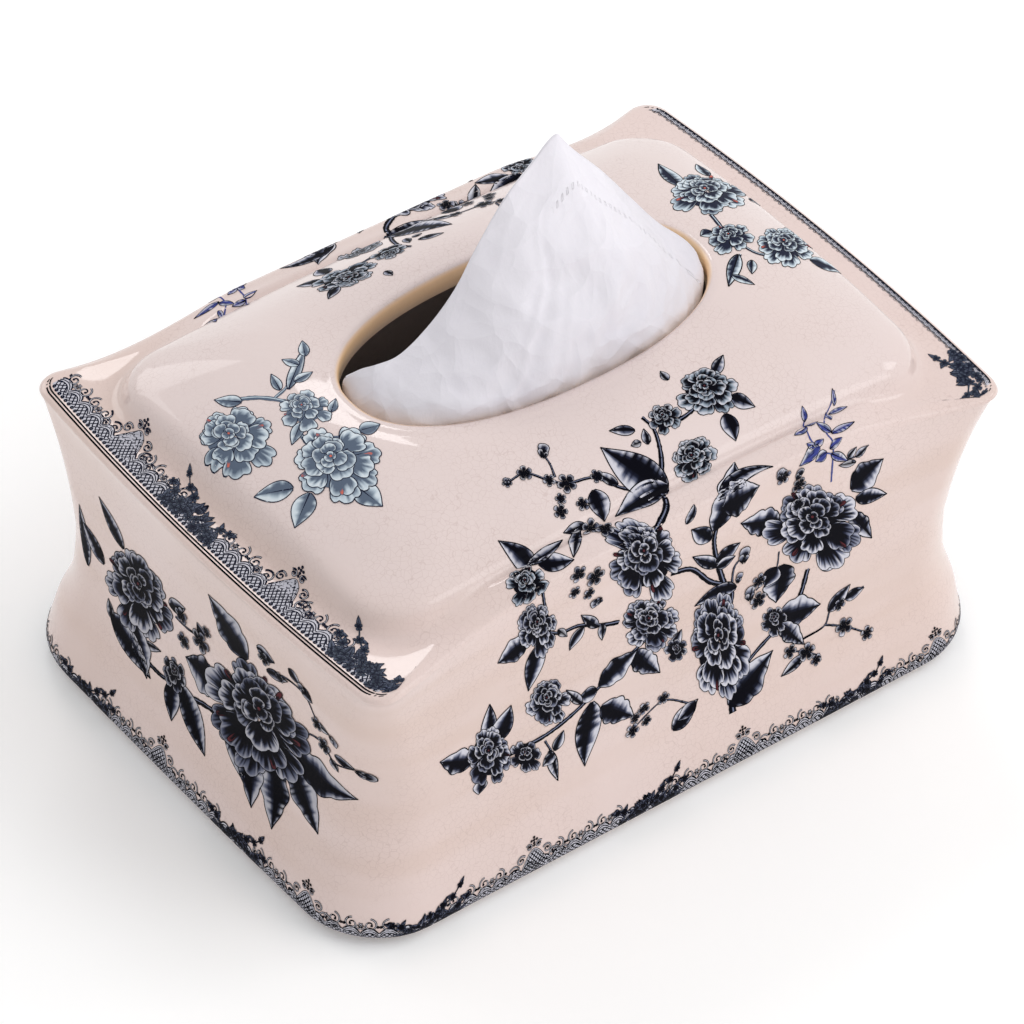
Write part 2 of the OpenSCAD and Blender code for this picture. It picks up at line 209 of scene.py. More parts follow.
class CoverForm:
    """The cover's surface as rings of points, outside and inside."""

    END_STEPS, SIDE_STEPS, CORNER_STEPS = 72, 104, 16
    # Rings between the skirt and the waist: how far up and how far back, as shares of the waist's.
    SKIRT_SHARES = ((0.26, 0.17), (0.39, 0.36), (0.52, 0.66), (0.63, 0.84), (0.8, 0.95))
    FLARE_RINGS = 12
    # Powers and shares that shape the flare, the drawn in and raised long sides, and the bowed short ones.
    FLARE_SHARE = 2.2
    SET_IN_SHARE = 1.6
    LIFT_SHARE = 1.3
    LIFT_START_SHARE = 0.88
    BOW_START_SHARE = 0.6
    ROUND_SHARE = 0.3
    # The step round the panel, its rings' places as shares of the rim's rounding, and the dome's curve.
    STEP_FOOT_SHARE = 0.12
    STEP_SHARES = ((1.6, 2.6), (0.9, 1))
    DOME_SHARE = 1.7
    DOME_SHARES = (0.02, 0.08, 0.2, 0.35, 0.5, 0.65, 0.8, 0.92)
    FOOT_CURVE_SHARE = 0.2
    SLOT_FULLNESS = 2.25
    INNER_DOME_SHARES = (0.9, 0.6, 0.3, 0)
    INNER_FLARE_SHARES = (0.8, 0.6, 0.4, 0.2, 0)

    def __init__(self, size):
        self.size = size
        self.rim_a, self.rim_b = size.rim_length / 2, size.rim_width / 2
        self.skirt_a, self.skirt_b = size.skirt_length / 2, size.skirt_width / 2
        self.panel_a, self.panel_b = size.panel_length / 2, size.panel_width / 2
        self.outer, self.rim_row = self.outside()
        self.inner = self.inside()
        self.normals = grid_normals(self.outer)

    def outline(self, a, b, r):
        """A rounded rectangle, from the right side's low end round to it again."""
        def line(start, end, steps):
            t = np.arange(steps)[:, None] / steps
            return np.array(start) * (1 - t) + np.array(end) * t

        def arc(x, y, start):
            turn = np.radians(start + 90 * np.arange(self.CORNER_STEPS) / self.CORNER_STEPS)
            return np.array([x, y]) + r * headings(turn)

        p, q = a - r, b - r
        return np.concatenate([
            line((a, -q), (a, q), self.END_STEPS), arc(p, q, 0),
            line((p, b), (-p, b), self.SIDE_STEPS), arc(-p, q, 90),
            line((-a, q), (-a, -q), self.END_STEPS), arc(-p, -q, 180),
            line((-p, -b), (p, -b), self.SIDE_STEPS), arc(p, -q, 270)])

    def body_ring(self, a, b, r, z, bow, set_in, lift):
        """A ring of the wall: short sides bowed, long sides drawn in and raised between the corners."""
        x, y = self.outline(a, b, r).T
        drawn = np.sin(math.pi / 2 * clamp((self.rim_a - abs(x)) / self.size.shoulder_run))
        up = ease((self.rim_a * self.LIFT_START_SHARE - abs(x)) / self.size.shoulder_run)
        side = clamp(abs(y) / b)
        end = clamp((abs(x) / a - self.BOW_START_SHARE) / (1 - self.BOW_START_SHARE))
        return np.stack([
            x + np.sign(x) * bow * (1 - side**2) * end,
            y * (1 - set_in * drawn / b),
            z + lift * up * side], 1)

    def skirt_ring(self, z, inset, skin=0.0):
        """A ring of the skirt, set back from its widest ring and, for the inside, by the wall too."""
        size = self.size
        corner = mix(size.waist_corner, size.skirt_corner, 1 - min(z / size.waist_height, 1))
        a, b = (half - inset - skin for half in (self.skirt_a, self.skirt_b))
        return self.body_ring(a, b, corner - skin / 2, z, size.skirt_bow, 0, 0)

    def flare_ring(self, t, skin=0.0):
        """A ring of the flare, from the waist at t = 0 to the rim at t = 1."""
        size = self.size
        out = t**self.FLARE_SHARE
        return self.body_ring(
            mix(self.skirt_a - size.waist_inset, self.rim_a, out) - skin,
            mix(self.skirt_b - size.waist_inset, self.rim_b, out) - skin,
            mix(size.waist_corner, size.rim_corner, t),
            mix(size.waist_height, size.rim_height, t),
            mix(size.skirt_bow, size.rim_bow, out),
            size.shoulder_inset * t**self.SET_IN_SHARE,
            size.shoulder_lift * t**self.LIFT_SHARE)

    def rim_ring(self, back, drop):
        """The rim's edge, set back and lowered a little."""
        size = self.size
        return self.body_ring(
            self.rim_a - back, self.rim_b - back, size.rim_corner, size.rim_height - drop,
            size.rim_bow, size.shoulder_inset, size.shoulder_lift)

    def panel_foot(self, out, drop=0.0):
        """The ring at the foot of the step round the panel."""
        size = self.size
        z = mix(size.rim_height, size.panel_corner_height, self.STEP_FOOT_SHARE)
        return self.body_ring(
            self.panel_a + out, self.panel_b + out, size.panel_corner + out, z - drop,
            size.rim_bow / 2, 0, size.shoulder_lift)

    def panel_ring(self, out, drop):
        """The raised panel's edge, moved out and lowered."""
        size = self.size
        a, b = self.panel_a + out, self.panel_b + out
        x, y = self.outline(a, b, size.panel_corner + out).T
        z = (size.panel_corner_height - drop
             + (size.panel_end_height - size.panel_corner_height) * (1 - (y / b) ** 2)
             + (size.panel_side_height - size.panel_corner_height) * (1 - (x / a) ** 2))
        return np.stack([x, y, z], 1)

    def slot_ring(self, grow, z):
        """The slot's outline, grown, at one height."""
        x, y = self.outline(self.panel_a, self.panel_b, self.size.panel_corner).T
        turn = np.arctan2(y / self.panel_b, x / self.panel_a)
        power = 2 / self.SLOT_FULLNESS
        c, s = np.cos(turn), np.sin(turn)
        return np.stack([
            (self.size.slot_length / 2 + grow) * np.sign(c) * abs(c) ** power,
            (self.size.slot_width / 2 + grow) * np.sign(s) * abs(s) ** power,
            np.full(len(turn), float(z))], 1)

    def dome_ring(self, low, high, t):
        """A ring of the dome, from the panel's edge at t = 0 to the lip at t = 1."""
        up = 1 - (1 - t) ** self.DOME_SHARE
        return np.stack([mix(low[:, k], high[:, k], share) for k, share in enumerate((t, t, up))], 1)

    def outside(self):
        """The outer rings from the foot up to the slot, and the row on which the flange starts."""
        size = self.size
        edge, lip, high = size.rim_round, size.lip_radius, size.slot_height
        rim_share = 1 - 2 * edge / (size.rim_height - size.waist_height)
        body = [self.skirt_ring(0, size.foot_inset),
                self.skirt_ring(size.skirt_height / 2, size.foot_inset * self.FOOT_CURVE_SHARE),
                self.skirt_ring(size.skirt_height, 0)]
        body += [self.skirt_ring(size.waist_height * up, size.waist_inset * back)
                 for up, back in self.SKIRT_SHARES]
        body += [self.flare_ring(rim_share * t) for t in np.linspace(0, 1, self.FLARE_RINGS)]
        body += [self.rim_ring(back * edge, drop * edge)
                 for back, drop in ((0, 1), (self.ROUND_SHARE, self.ROUND_SHARE), (1, 0))]
        turn = lip * (1 - math.cos(math.pi / 4))
        start = self.slot_ring(2 * lip, high - turn)
        step = size.step_width
        over = [self.panel_foot(step + edge), self.panel_foot(step - edge / 2, -edge / 2)]
        over += [self.panel_ring(out * edge, drop * edge) for out, drop in self.STEP_SHARES]
        over += [self.dome_ring(self.panel_ring(0, 0), start, t) for t in self.DOME_SHARES]
        over += [start, self.slot_ring(lip, high), self.slot_ring(turn, high - turn),
                 self.slot_ring(0, high - lip)]
        low_rows = smooth_rows(body, size.spacing)
        high_rows = smooth_rows([body[-1], *over], size.spacing)
        return np.concatenate([low_rows, high_rows[1:]]), len(low_rows) - 1

    def inside(self):
        """The inner rings from the slot down to the foot."""
        size = self.size
        wall = size.wall
        low = size.slot_height - size.lip_depth
        panel, roof = self.panel_ring(-wall, wall), self.slot_ring(wall, size.slot_height - wall)
        rings = [self.slot_ring(0, low + wall / 5), self.slot_ring(wall / 5, low),
                 self.slot_ring(3 * wall / 4, low + wall / 5)]
        rings += [self.dome_ring(panel, roof, t) for t in self.INNER_DOME_SHARES]
        rings += [self.panel_foot(-wall / 2, wall)]
        rings += [self.flare_ring(t, wall) for t in self.INNER_FLARE_SHARES]
        rings += [self.skirt_ring(size.waist_height * up, size.waist_inset * back, wall)
                  for up, back in reversed(self.SKIRT_SHARES)]
        rings += [self.skirt_ring(size.skirt_height, 0, wall), self.skirt_ring(0, size.foot_inset / 2, wall)]
        return np.array(rings)


def smooth_rows(rings, spacing):
    """Rows of points on smooth curves through the rings, one curve up each column."""
    rings = np.array(rings)
    ends = np.concatenate([[2 * rings[0] - rings[1]], rings, [2 * rings[-1] - rings[-2]]])
    rows = []
    for before, start, end, after in zip(ends, ends[1:], ends[2:], ends[3:]):
        knots = [np.zeros(len(start))]
        for p, q in ((before, start), (start, end), (end, after)):
            knots.append(knots[-1] + np.sqrt(np.linalg.norm(q - p, axis=1)) + TINY)
        k0, k1, k2, k3 = (k[:, None] for k in knots)
        steps = max(1, round(float(np.linalg.norm(end - start, axis=1).mean()) / spacing))
        for step in range(steps):
            t = mix(k1, k2, step / steps)
            a1 = before * (k1 - t) / (k1 - k0) + start * (t - k0) / (k1 - k0)
            a2 = start * (k2 - t) / (k2 - k1) + end * (t - k1) / (k2 - k1)
            a3 = end * (k3 - t) / (k3 - k2) + after * (t - k2) / (k3 - k2)
            b1 = a1 * (k2 - t) / (k2 - k0) + a2 * (t - k0) / (k2 - k0)
            b2 = a2 * (k3 - t) / (k3 - k1) + a3 * (t - k1) / (k3 - k1)
            rows.append(b1 * (k2 - t) / (k2 - k1) + b2 * (t - k1) / (k2 - k1))
    rows.append(rings[-1])
    return np.array(rows)


def grid_normals(grid):
    """Outward normals of a grid of rows, whose columns run round and join."""
    along = np.roll(grid, -1, axis=1) - np.roll(grid, 1, axis=1)
    up = np.gradient(grid, axis=0)
    normal = np.cross(along, up)
    return normal / np.maximum(np.linalg.norm(normal, axis=2, keepdims=True), TINY_AREA)


def new_piece(name, points, faces, body, material):
    """A mesh object that rides on a body and wears the material that it is given."""
    mesh = bpy.data.meshes.new(name)
    mesh.from_pydata(np.asarray(points, float).tolist(), [], [list(map(int, f)) for f in faces])
    mesh.update()
    mesh.shade_smooth()
    piece = bpy.data.objects.new(name, mesh)
    bpy.context.scene.collection.objects.link(piece)
    mesh.materials.append(material)
    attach(piece, body)
    return piece


def grid_faces(rows, columns, round_it, start=0):
    """Quads between rows of points, joined round where round_it says so."""
    index = start + np.arange(rows * columns).reshape(rows, columns)
    if round_it:
        index = np.concatenate([index, index[:, :1]], 1)
    return np.stack([index[:-1, :-1], index[:-1, 1:], index[1:, 1:], index[1:, :-1]], -1).reshape(-1, 4)


class Wire:
    """One output socket of a shader node, with arithmetic that adds Math nodes."""

    def __init__(self, look, socket):
        self.look = look
        self.socket = socket

    def __add__(self, other):
        return self.look.math("ADD", self, other)

    def __sub__(self, other):
        return self.look.math("SUBTRACT", self, other)

    def __mul__(self, other):
        return self.look.math("MULTIPLY", self, other)

    def __truediv__(self, other):
        return self.look.math("DIVIDE", self, other)

    def __rsub__(self, other):
        return self.look.math("SUBTRACT", other, self)

    __radd__ = __add__

    def step(self, low, high):
        """Rises smoothly from 0 to 1 as the value goes from low to high, or falls where low is the higher."""
        rise = self.look.node("ShaderNodeMapRange", {"interpolation_type": "SMOOTHSTEP"}, {
            "Value": self, "From Min": min(low, high), "From Max": max(low, high)})
        return 1 - rise if low > high else rise


class Look:
    """The nodes of a material or of the sky."""

    MIX_SHARE, MIX_LOW, MIX_HIGH, MIX_OUT = 0, 6, 7, 2        # the Mix node's sockets for colours

    def __init__(self, owner):
        self.owner = owner
        owner.use_nodes = True
        self.tree = owner.node_tree
        self.tree.nodes.clear()

    def node(self, kind, settings=None, sockets=None, out=0):
        """Adds a node, its settings first and then its sockets. Gives one of its outputs if it has any."""
        node = self.tree.nodes.new(kind)
        for name, value in (settings or {}).items():
            setattr(node, name, value)
        for name, value in (sockets or {}).items():
            if isinstance(value, Wire):
                self.tree.links.new(value.socket, node.inputs[name])
            else:
                node.inputs[name].default_value = value
        return Wire(self, node.outputs[out]) if len(node.outputs) else None

    def math(self, operation, *values):
        """Arithmetic on numbers and wires."""
        return self.node("ShaderNodeMath", {"operation": operation}, dict(enumerate(values)))

    def vector_math(self, operation, first, second, out=0):
        """Vector Math on two vectors, or on a vector and the scale that it takes."""
        name = "Scale" if operation == "SCALE" else 1
        return self.node("ShaderNodeVectorMath", {"operation": operation}, {0: first, name: second}, out)

    def place(self, axis=None):
        """The point of the surface, in the object's own frame, or one axis of it."""
        where = self.node("ShaderNodeTexCoord", out="Object")
        return where if axis is None else self.node("ShaderNodeSeparateXYZ", None, {0: where}, axis)

    def stretched(self, scale):
        """The point of the surface with each axis scaled."""
        return self.vector_math("MULTIPLY", self.place(), scale)

    def drifted(self, scale, reach):
        """The point of the surface, moved about by a slow noise."""
        drift = self.node("ShaderNodeTexNoise", None, {
            "Vector": self.place(), "Scale": scale, "Detail": 1.0}, "Color")
        return self.vector_math("ADD", self.place(), self.vector_math("SCALE", drift, reach))

    def noise(self, scale, detail=2.0, roughness=0.5, vector=None):
        """Cloudy noise between 0 and 1."""
        return self.node("ShaderNodeTexNoise", None, {
            "Vector": vector or self.place(), "Scale": scale, "Detail": detail, "Roughness": roughness})

    def cells(self, scale, vector, feature="F1", **sockets):
        """How far a point is from the middle of its cell, or from its cell's edge."""
        return self.node("ShaderNodeTexVoronoi", {"feature": feature}, {
            "Vector": vector, "Scale": scale, **sockets}, "Distance")

    def blend(self, low, high, share):
        """A colour between two colours."""
        low, high = (c if isinstance(c, Wire) else (*c, 1) for c in (low, high))
        sockets = {self.MIX_SHARE: share, self.MIX_LOW: low, self.MIX_HIGH: high}
        return self.node("ShaderNodeMix", {"data_type": "RGBA"}, sockets, self.MIX_OUT)

    def bump(self, height, distance):
        """The normal of a surface raised by the height, which is 1 at the distance."""
        return self.node("ShaderNodeBump", None, {"Height": height, "Distance": distance, "Strength": 1.0})

    def finish(self, **sockets):
        """Ends the material in one surface shader with these values and links."""
        named = {key.replace("_", " ").title().replace("Ior", "IOR"): value for key, value in sockets.items()}
        shader = self.node("ShaderNodeBsdfPrincipled", None, named)
        self.node("ShaderNodeOutputMaterial", None, {"Surface": shader})
        return self.owner


def material_look(name):
    """The empty nodes of a new material."""
    return Look(bpy.data.materials.new(name))


def craze(look, glaze):
    """The network of fine lines in the glaze: 1 on a line and 0 between the lines."""
    scale = 1 / glaze.cell
    edge = look.cells(scale, look.drifted(scale / 2, glaze.cell * 0.9), "DISTANCE_TO_EDGE")
    return edge.step(0.055, 0.0) * look.noise(45.0).step(0.3, 0.6)


def waves(look):
    """The slow waves of a thick glaze, for the bump."""
    return look.noise(38.0, 1.0) + look.noise(420.0, 1.0) * 0.05


GLAZE = {"roughness": 0.45, "coat_weight": 0.8, "coat_roughness": 0.05, "specular_ior_level": 0.25}
PAINT = {"roughness": 0.5, "coat_weight": 0.035, "coat_roughness": 0.05, "specular_ior_level": 0.02}
WAVE_DEPTH = 0.0011


def glaze_material(glaze, size):
    """The cream glaze of the body, streaked with painted shade, crazed, with a painted paler top, bare under
    the foot and peach in the slot as painted warm bounce light.
    """
    look = material_look("cream_glaze")
    z = look.place("Z")
    cloud = look.noise(14.0, 3.0).step(0.3, 0.75)
    base = look.blend(glaze.cream, glaze.pooled_glaze_and_shade, cloud * 0.28)
    # Painted shade: long darker streaks up the sides stand in for the ripples that the uneven glaze shows in
    # the light.
    streaks = look.noise(1.0, 2.0, 0.5, look.stretched((7, 7, 75))).step(0.42, 0.72)
    base = look.blend(base, glaze.pooled_glaze_and_shade, streaks * 0.3)
    # Painted light: above the rim the glaze turns paler and cooler, as the top catches more light.
    base = look.blend(base, glaze.top, z.step(size.rim_height, size.rim_height + 14 * MM) * 0.7)
    base = look.blend(base, glaze.craze, craze(look, glaze) * 0.26)
    across = sum(look.math("POWER", look.math("ABSOLUTE", look.place(axis) / half), CoverForm.SLOT_FULLNESS)
                 for axis, half in (("X", size.slot_length / 2), ("Y", size.slot_width / 2)))
    # Painted light: the slot's inner wall below the lip is tinted peach for the warm light bounced inside the
    # slot.
    low, high = (size.slot_height - share * size.lip_depth for share in (1.6, 1.2))
    base = look.blend(base, glaze.lip, across.step(1.07, 1.01) * z.step(low, high))
    base = look.blend(base, glaze.foot, z.step(0.5 * MM, 0.1 * MM))
    return look.finish(base_color=base, normal=look.bump(waves(look), WAVE_DEPTH), **GLAZE)


def inside_material(glaze):
    """The thin dull glaze inside the cover, its dark colour painted shade."""
    look = material_look("inner_glaze")
    base = look.blend(glaze.inside, glaze.pooled_glaze_and_shade, look.noise(30.0, 3.0) * 0.3)
    return look.finish(base_color=base, roughness=0.6, normal=look.bump(look.noise(300.0), 0.0004))


def paint_material():
    """The painted decoration, on the same slightly uneven surface."""
    look = material_look("painted_glaze")
    colour = look.node("ShaderNodeAttribute", {"attribute_name": "paint"}, None, "Color")
    return look.finish(base_color=colour, normal=look.bump(waves(look), WAVE_DEPTH), **PAINT)


def paper_material():
    """Soft tissue paper with fine fibres, creases and a dotted line pressed along its edge, with painted
    shade in grey patches and painted light that whitens it towards the top.
    """
    sizes = bpy.context.scene.tissue_sizes
    look = material_look("tissue_paper")
    fibre = look.noise(1.0, 4.0, 0.6, look.stretched((900, 900, 260)))
    cut = look.node("ShaderNodeUVMap", {"uv_map": "cut"}, None, "UV")
    along, inward = (look.node("ShaderNodeSeparateXYZ", None, {0: cut}, axis) for axis in "XY")
    pitch, row_at, dot = 2.2 * MM, 15 * MM, 0.5 * MM
    on_dash = look.math("PINGPONG", along + (inward - row_at) * 0.5, pitch / 2)
    off_row = look.math("ABSOLUTE", inward - row_at)
    dots = on_dash.step(dot, dot * 0.4) * off_row.step(0.9 * MM, 0.5 * MM) * along.step(78 * MM, 82 * MM)
    moved = look.drifted(40.0, 0.016)
    large, small = (look.cells(scale, moved) for scale in (52.0, 125.0))
    # Painted shade: greyish patches stand in for the soft shade among the paper's crumples.
    base = look.blend(sizes.paper, linear(204, 200, 212), look.noise(60.0, 2.0).step(0.45, 0.8) * 0.35)
    # Painted light: the paper turns whiter higher up, where the sheet catches more light.
    base = look.blend(base, linear(240, 237, 244), look.place("Z").step(0.115, 0.165) * 0.75)
    bump = look.bump(fibre * 0.04 - dots * 0.13 + large + small * 0.35, 0.0024)
    return look.finish(
        base_color=base, roughness=0.92, specular_ior_level=0.15, sheen_weight=0.25, normal=bump)


CHART_STEP = 1.0 * MM
UP_STEP = 0.25 * MM
CHART_MARGIN = 2 * MM
SKIRT_ROWS = 40


class Chart:
    """Carries drawings onto the cover: a table of points and normals by place along and place up."""

    def __init__(self, along, rows):
        """The rows run up the cover, with a point and a normal for each place along."""
        steps = np.linalg.norm(np.diff(rows[:, :, :3], axis=0), axis=2)
        heights = np.concatenate([np.zeros((1, len(along))), np.cumsum(steps, 0)])
        self.along = along
        self.heights = heights
        up = np.arange(0, heights[-1].max(), UP_STEP)
        self.table = np.stack([
            np.stack([np.interp(up, heights[:, j], rows[:, j, k]) for k in range(6)], 1)
            for j in range(len(along))])

    def nearest(self, x, y):
        """The place along at which the chart's lowest row passes nearest to a point in plan."""
        gap = np.hypot(self.table[:, 0, 0] - x, self.table[:, 0, 1] - y)
        return self.along[np.argmin(gap)]

    def height(self, row, along):
        """How far up the surface a row of the cover lies, at places along."""
        return np.interp(along, self.along, self.heights[row])

    def put(self, places):
        """Points and normals on the cover for places in the drawing, both in metres."""
        last = len(self.along) - 1.001
        i = np.clip(np.interp(places[:, 0], self.along, np.arange(len(self.along))), 0, last)
        j = np.clip(places[:, 1] / UP_STEP, 0, self.table.shape[1] - 1.001)
        i0, j0 = i.astype(int), j.astype(int)
        u, v = (i - i0)[:, None], (j - j0)[:, None]
        found = ((self.table[i0, j0] * (1 - u) + self.table[i0 + 1, j0] * u) * (1 - v)
                 + (self.table[i0, j0 + 1] * (1 - u) + self.table[i0 + 1, j0 + 1] * u) * v)
        return found[:, :3], found[:, 3:]


def side_chart(form, axis, sign):
    """A chart of one side: axis 0 for a long side and 1 for a short one, sign for which of the two."""
    ends, sides, corner = form.END_STEPS, form.SIDE_STEPS, form.CORNER_STEPS
    run = sides if axis == 0 else ends
    first = {(0, 1): ends, (0, -1): 2 * ends + sides + 2 * corner,
             (1, 1): -corner, (1, -1): ends + corner + sides}[(axis, sign)]
    columns = np.arange(first, first + run + 2 * corner + 1) % form.outer.shape[1]
    both = np.concatenate([form.outer[:, columns], form.normals[:, columns]], 2)
    limit = (form.skirt_a if axis == 0 else form.skirt_b) - CHART_MARGIN
    along = np.arange(-limit, limit, CHART_STEP)
    rows = []
    for row in both:
        order = np.argsort(row[:, axis], kind="stable")
        rows.append(np.stack([np.interp(along, row[order, axis], row[order, k]) for k in range(6)], 1))
        rows[-1][:, axis] = np.clip(along, row[:, axis].min(), row[:, axis].max())
    return Chart(along, np.array(rows))


def round_chart(form):
    """A chart that runs all the way round the skirt, from the right side's low end."""
    ring = form.outer[np.argmax(form.outer[:, 0, 0])]
    steps = np.linalg.norm(np.roll(ring, -1, axis=0) - ring, axis=1)
    both = np.concatenate([form.outer, form.normals], 2)[:SKIRT_ROWS]
    return Chart(np.concatenate([[0], np.cumsum(steps)]), np.concatenate([both, both[:, :1]], 1))


class PlanChart:
    """Carries drawings straight down onto the top of the cover."""

    ABOVE = 0.5

    def __init__(self, form):
        rows, columns = form.outer.shape[:2]
        self.points = [Vector(p) for p in form.outer.reshape(-1, 3)]
        self.normals = [Vector(n) for n in form.normals.reshape(-1, 3)]
        quads = grid_faces(rows, columns, True)
        self.faces = np.concatenate([quads[:, [0, 1, 2]], quads[:, [0, 2, 3]]]).tolist()
        self.tree = BVHTree.FromPolygons(self.points, self.faces)

    def put(self, places):
        """Points and normals on the top for places in plan, both in metres."""
        found, normals = [], []
        for x, y in places:
            point, _, face, _ = self.tree.ray_cast(Vector((x, y, self.ABOVE)), Vector((0, 0, -1)))
            corners = self.faces[face]
            a, b, c = (self.points[k] for k in corners)
            around = (self.normals[k] for k in corners)
            normals.append(barycentric_transform(point, a, b, c, *around).normalized())
            found.append(point)
        return np.array(found), np.array(normals)


def unit(degrees):
    """A unit vector in the plane."""
    return np.array([math.cos(math.radians(degrees)), math.sin(math.radians(degrees))])


class Drawing:
    """Shapes painted in one flat drawing, in millimetres, each a patch of coloured points on its layer."""

    LINE = 0.34                 # width of an outline
    BASE = 0.09                 # height of the lowest layer over the glaze
    LAYER = 0.003               # height of a layer over the one below it
    STEP = 1.1                  # widest space between points
    MOST_PARTS = 12
    RIM_POINTS = 241
    ROUGHEST = 0.1              # most that a petal's edge is ragged
    PETAL_FOOT = 0.75           # where a petal's points start, as a share of its dark foot
    HEART_SHIFT = 0.17          # these three are shares of a blossom's size
    BED_SHARE = 0.66
    EYE_SHARE = 0.03
    LEAF_BACK = 0.14            # how far a leaf reaches back behind its place, as a share of its length
    LEAF_STRETCH = 1.16
    LEAF_FULLNESS = 3.6
    TOOTH_DEPTH = 0.24
    VEIN_SHARE = 0.75
    # A blossom's rings of petals: how many, where they start and how long they are as shares of its size,
    # half their spread in degrees, their lobes, and how far up they stay dark.
    RINGS = ((7, 0.3, 0.7, 42, 3, 0.34), (6, 0.24, 0.58, 50, 3, 0.4), (5, 0.16, 0.47, 60, 3, 0.4),
             (4, 0.12, 0.35, 74, 2, 0.42), (3, 0.08, 0.26, 84, 2, 0.38), (3, 0.0, 0.16, 74, 1, 0.3))

    def __init__(self, seed, rust):
        self.chance = random.Random(seed)
        self.rust = np.array(rust)
        self.points, self.colours, self.layers, self.faces = [], [], [], []
        self.count = 0

    def patch(self, points, colours, layer):
        """Adds rows of points with a colour for each, with more points between those that lie far apart."""
        colours = np.broadcast_to(colours, (*points.shape[:2], 3))
        for axis in (0, 1):
            gap = np.linalg.norm(np.diff(points, axis=axis), axis=2).max()
            parts = min(self.MOST_PARTS, math.ceil(gap / self.STEP))
            if parts > 1:
                last = points.shape[axis] - 1
                t = np.linspace(0, last, last * parts + 1)
                i = np.minimum(t.astype(int), last - 1)
                share = (t - i)[:, None, None] if axis == 0 else (t - i)[None, :, None]
                points, colours = (mix(grid.take(i, axis), grid.take(i + 1, axis), share)
                                   for grid in (points, colours))
        rows, columns = points.shape[:2]
        self.faces.append(grid_faces(rows, columns, False, self.count))
        self.points.append(points.reshape(-1, 2))
        self.colours.append(colours.reshape(-1, 3))
        self.layers.append(np.full(rows * columns, float(layer)))
        self.count += rows * columns

    def ribbon(self, line, widths, colour, layer):
        """A painted line of changing width along points."""
        line = np.asarray(line, float)
        way = np.gradient(line, axis=0)
        way /= np.maximum(np.linalg.norm(way, axis=1, keepdims=True), TINY)
        across = np.stack([-way[:, 1], way[:, 0]], 1) * np.broadcast_to(widths, len(line))[:, None] / 2
        self.patch(np.stack([line - across, line + across]), colour, layer)

    def petal(self, at, turn, long, spread, layer, tones, lobes=3, start=0.2, waver=0.13):
        """A petal that fans out from a point: dark at its foot, brushed to a pale edge and outlined."""
        chance = self.chance
        phase = chance.uniform(-0.25, 0.25)

        def outline(v):
            lobe = np.abs(np.cos(math.pi * (lobes * v / 2 + phase))) ** 0.7 if lobes > 1 else 1.0
            return long * np.maximum((1 - np.abs(v) ** 3.4) ** 0.42, 0.12) * (1 - waver + waver * lobe)
        # The columns are spaced evenly along the edge, so that its lobes stay smooth.
        fine = np.linspace(-1, 1, self.RIM_POINTS)
        rim = outline(fine)[:, None] * headings(np.radians(spread * fine))
        run = np.concatenate([[0], np.cumsum(np.linalg.norm(np.diff(rim, axis=0), axis=1))])
        columns = max(7, math.ceil(run[-1] / (0.86 * self.STEP)) + 1)
        rows = max(4, math.ceil(1.05 * long * (1 - self.PETAL_FOOT * start) / self.STEP) + 1)
        v = np.interp(np.linspace(0, run[-1], columns), run, fine)
        ragged = min(self.ROUGHEST, 0.02 * long)
        reach = outline(v) + np.array([chance.uniform(-ragged, ragged) for _ in v])
        way = headings(np.radians(turn + spread * v))
        u = np.linspace(start * self.PETAL_FOOT, 1, rows)
        points = np.asarray(at) + u[:, None, None] * reach[None, :, None] * way[None]
        # The brush's streaks are strongest half way up, and the sides are paler than the middle.
        streak = np.array([chance.uniform(-1, 1) for _ in v])[None]
        t = clamp((u - start) / (1 - start))[:, None] * np.ones(columns)
        t = (t * chance.uniform(0.84, 1.1) + 0.3 * streak * np.sin(math.pi * t)
             + 0.2 * (np.abs(v) ** 3)[None] * t)
        self.patch(points, shaded(tones, t), layer)
        rim = np.asarray(at) + reach[:, None] * way
        self.ribbon(rim, self.LINE * min(1, 0.45 + long / 18), tones[4], layer + 0.5)

    def bloom(self, at, size, turn, ratio, layer, tones, rings=6, rust=0, up=90):
        """A full blossom: a skirt of ragged petals and, a little higher, a heart of cupped ones.

        Size is its longer half, and along the turn it is drawn in to the ratio.
        """
        chance = self.chance
        first = len(self.points)
        table = self.RINGS[:1] + self.RINGS[1 + len(self.RINGS) - rings:]
        heart = unit(up) * self.HEART_SHIFT
        self.dot((0, 0), size * self.BED_SHARE, tones[0], layer - 0.5, 16)
        for ring, (count, foot, long, spread, lobes, start) in enumerate(table):
            loose = min(1, ring / 2)
            shift = heart * loose
            offset = chance.uniform(0, 360)
            low = layer + 3 * ring
            for k in range(count):
                angle = offset + 360 * k / count + chance.uniform(-6, 6) * (1 + 2 * loose)
                away = 1 - 0.14 * math.cos(math.radians(angle - up)) * (ring < 2)
                grown = away * long * size * chance.uniform(0.8, 1.08)
                grown = grown * (1 + 0.2 * loose * chance.uniform(-1, 1))
                base = (unit(angle) * foot * chance.uniform(0.8, 1.15) + shift) * size
                over = 2 if k == count - 1 and count % 2 else k % 2
                self.petal(base, angle + chance.uniform(-9, 9) * (1 + loose), grown,
                           spread * chance.uniform(0.85, 1.12), low + over, tones,
                           lobes if long * size > 2 else 1, start)
            for k in range(rust if ring == 1 else 0):
                angle = offset + 360 * (k + 0.5) / rust + chance.uniform(-20, 20)
                red = (tones[0], tones[0], self.rust, self.rust, tones[0])
                self.petal(unit(angle) * 0.42 * size + shift, angle, 0.4 * size, 10, low + 2.6, red, 1)
        self.dot(heart * size, size * self.EYE_SHARE, self.rust, layer + 20)
        heading, side = unit(turn), unit(turn + 90)
        for k in range(first, len(self.points)):
            p = self.points[k]
            drawn_in = np.outer(p @ heading * ratio, heading)
            self.points[k] = np.asarray(at) + drawn_in + np.outer(p @ side, side)

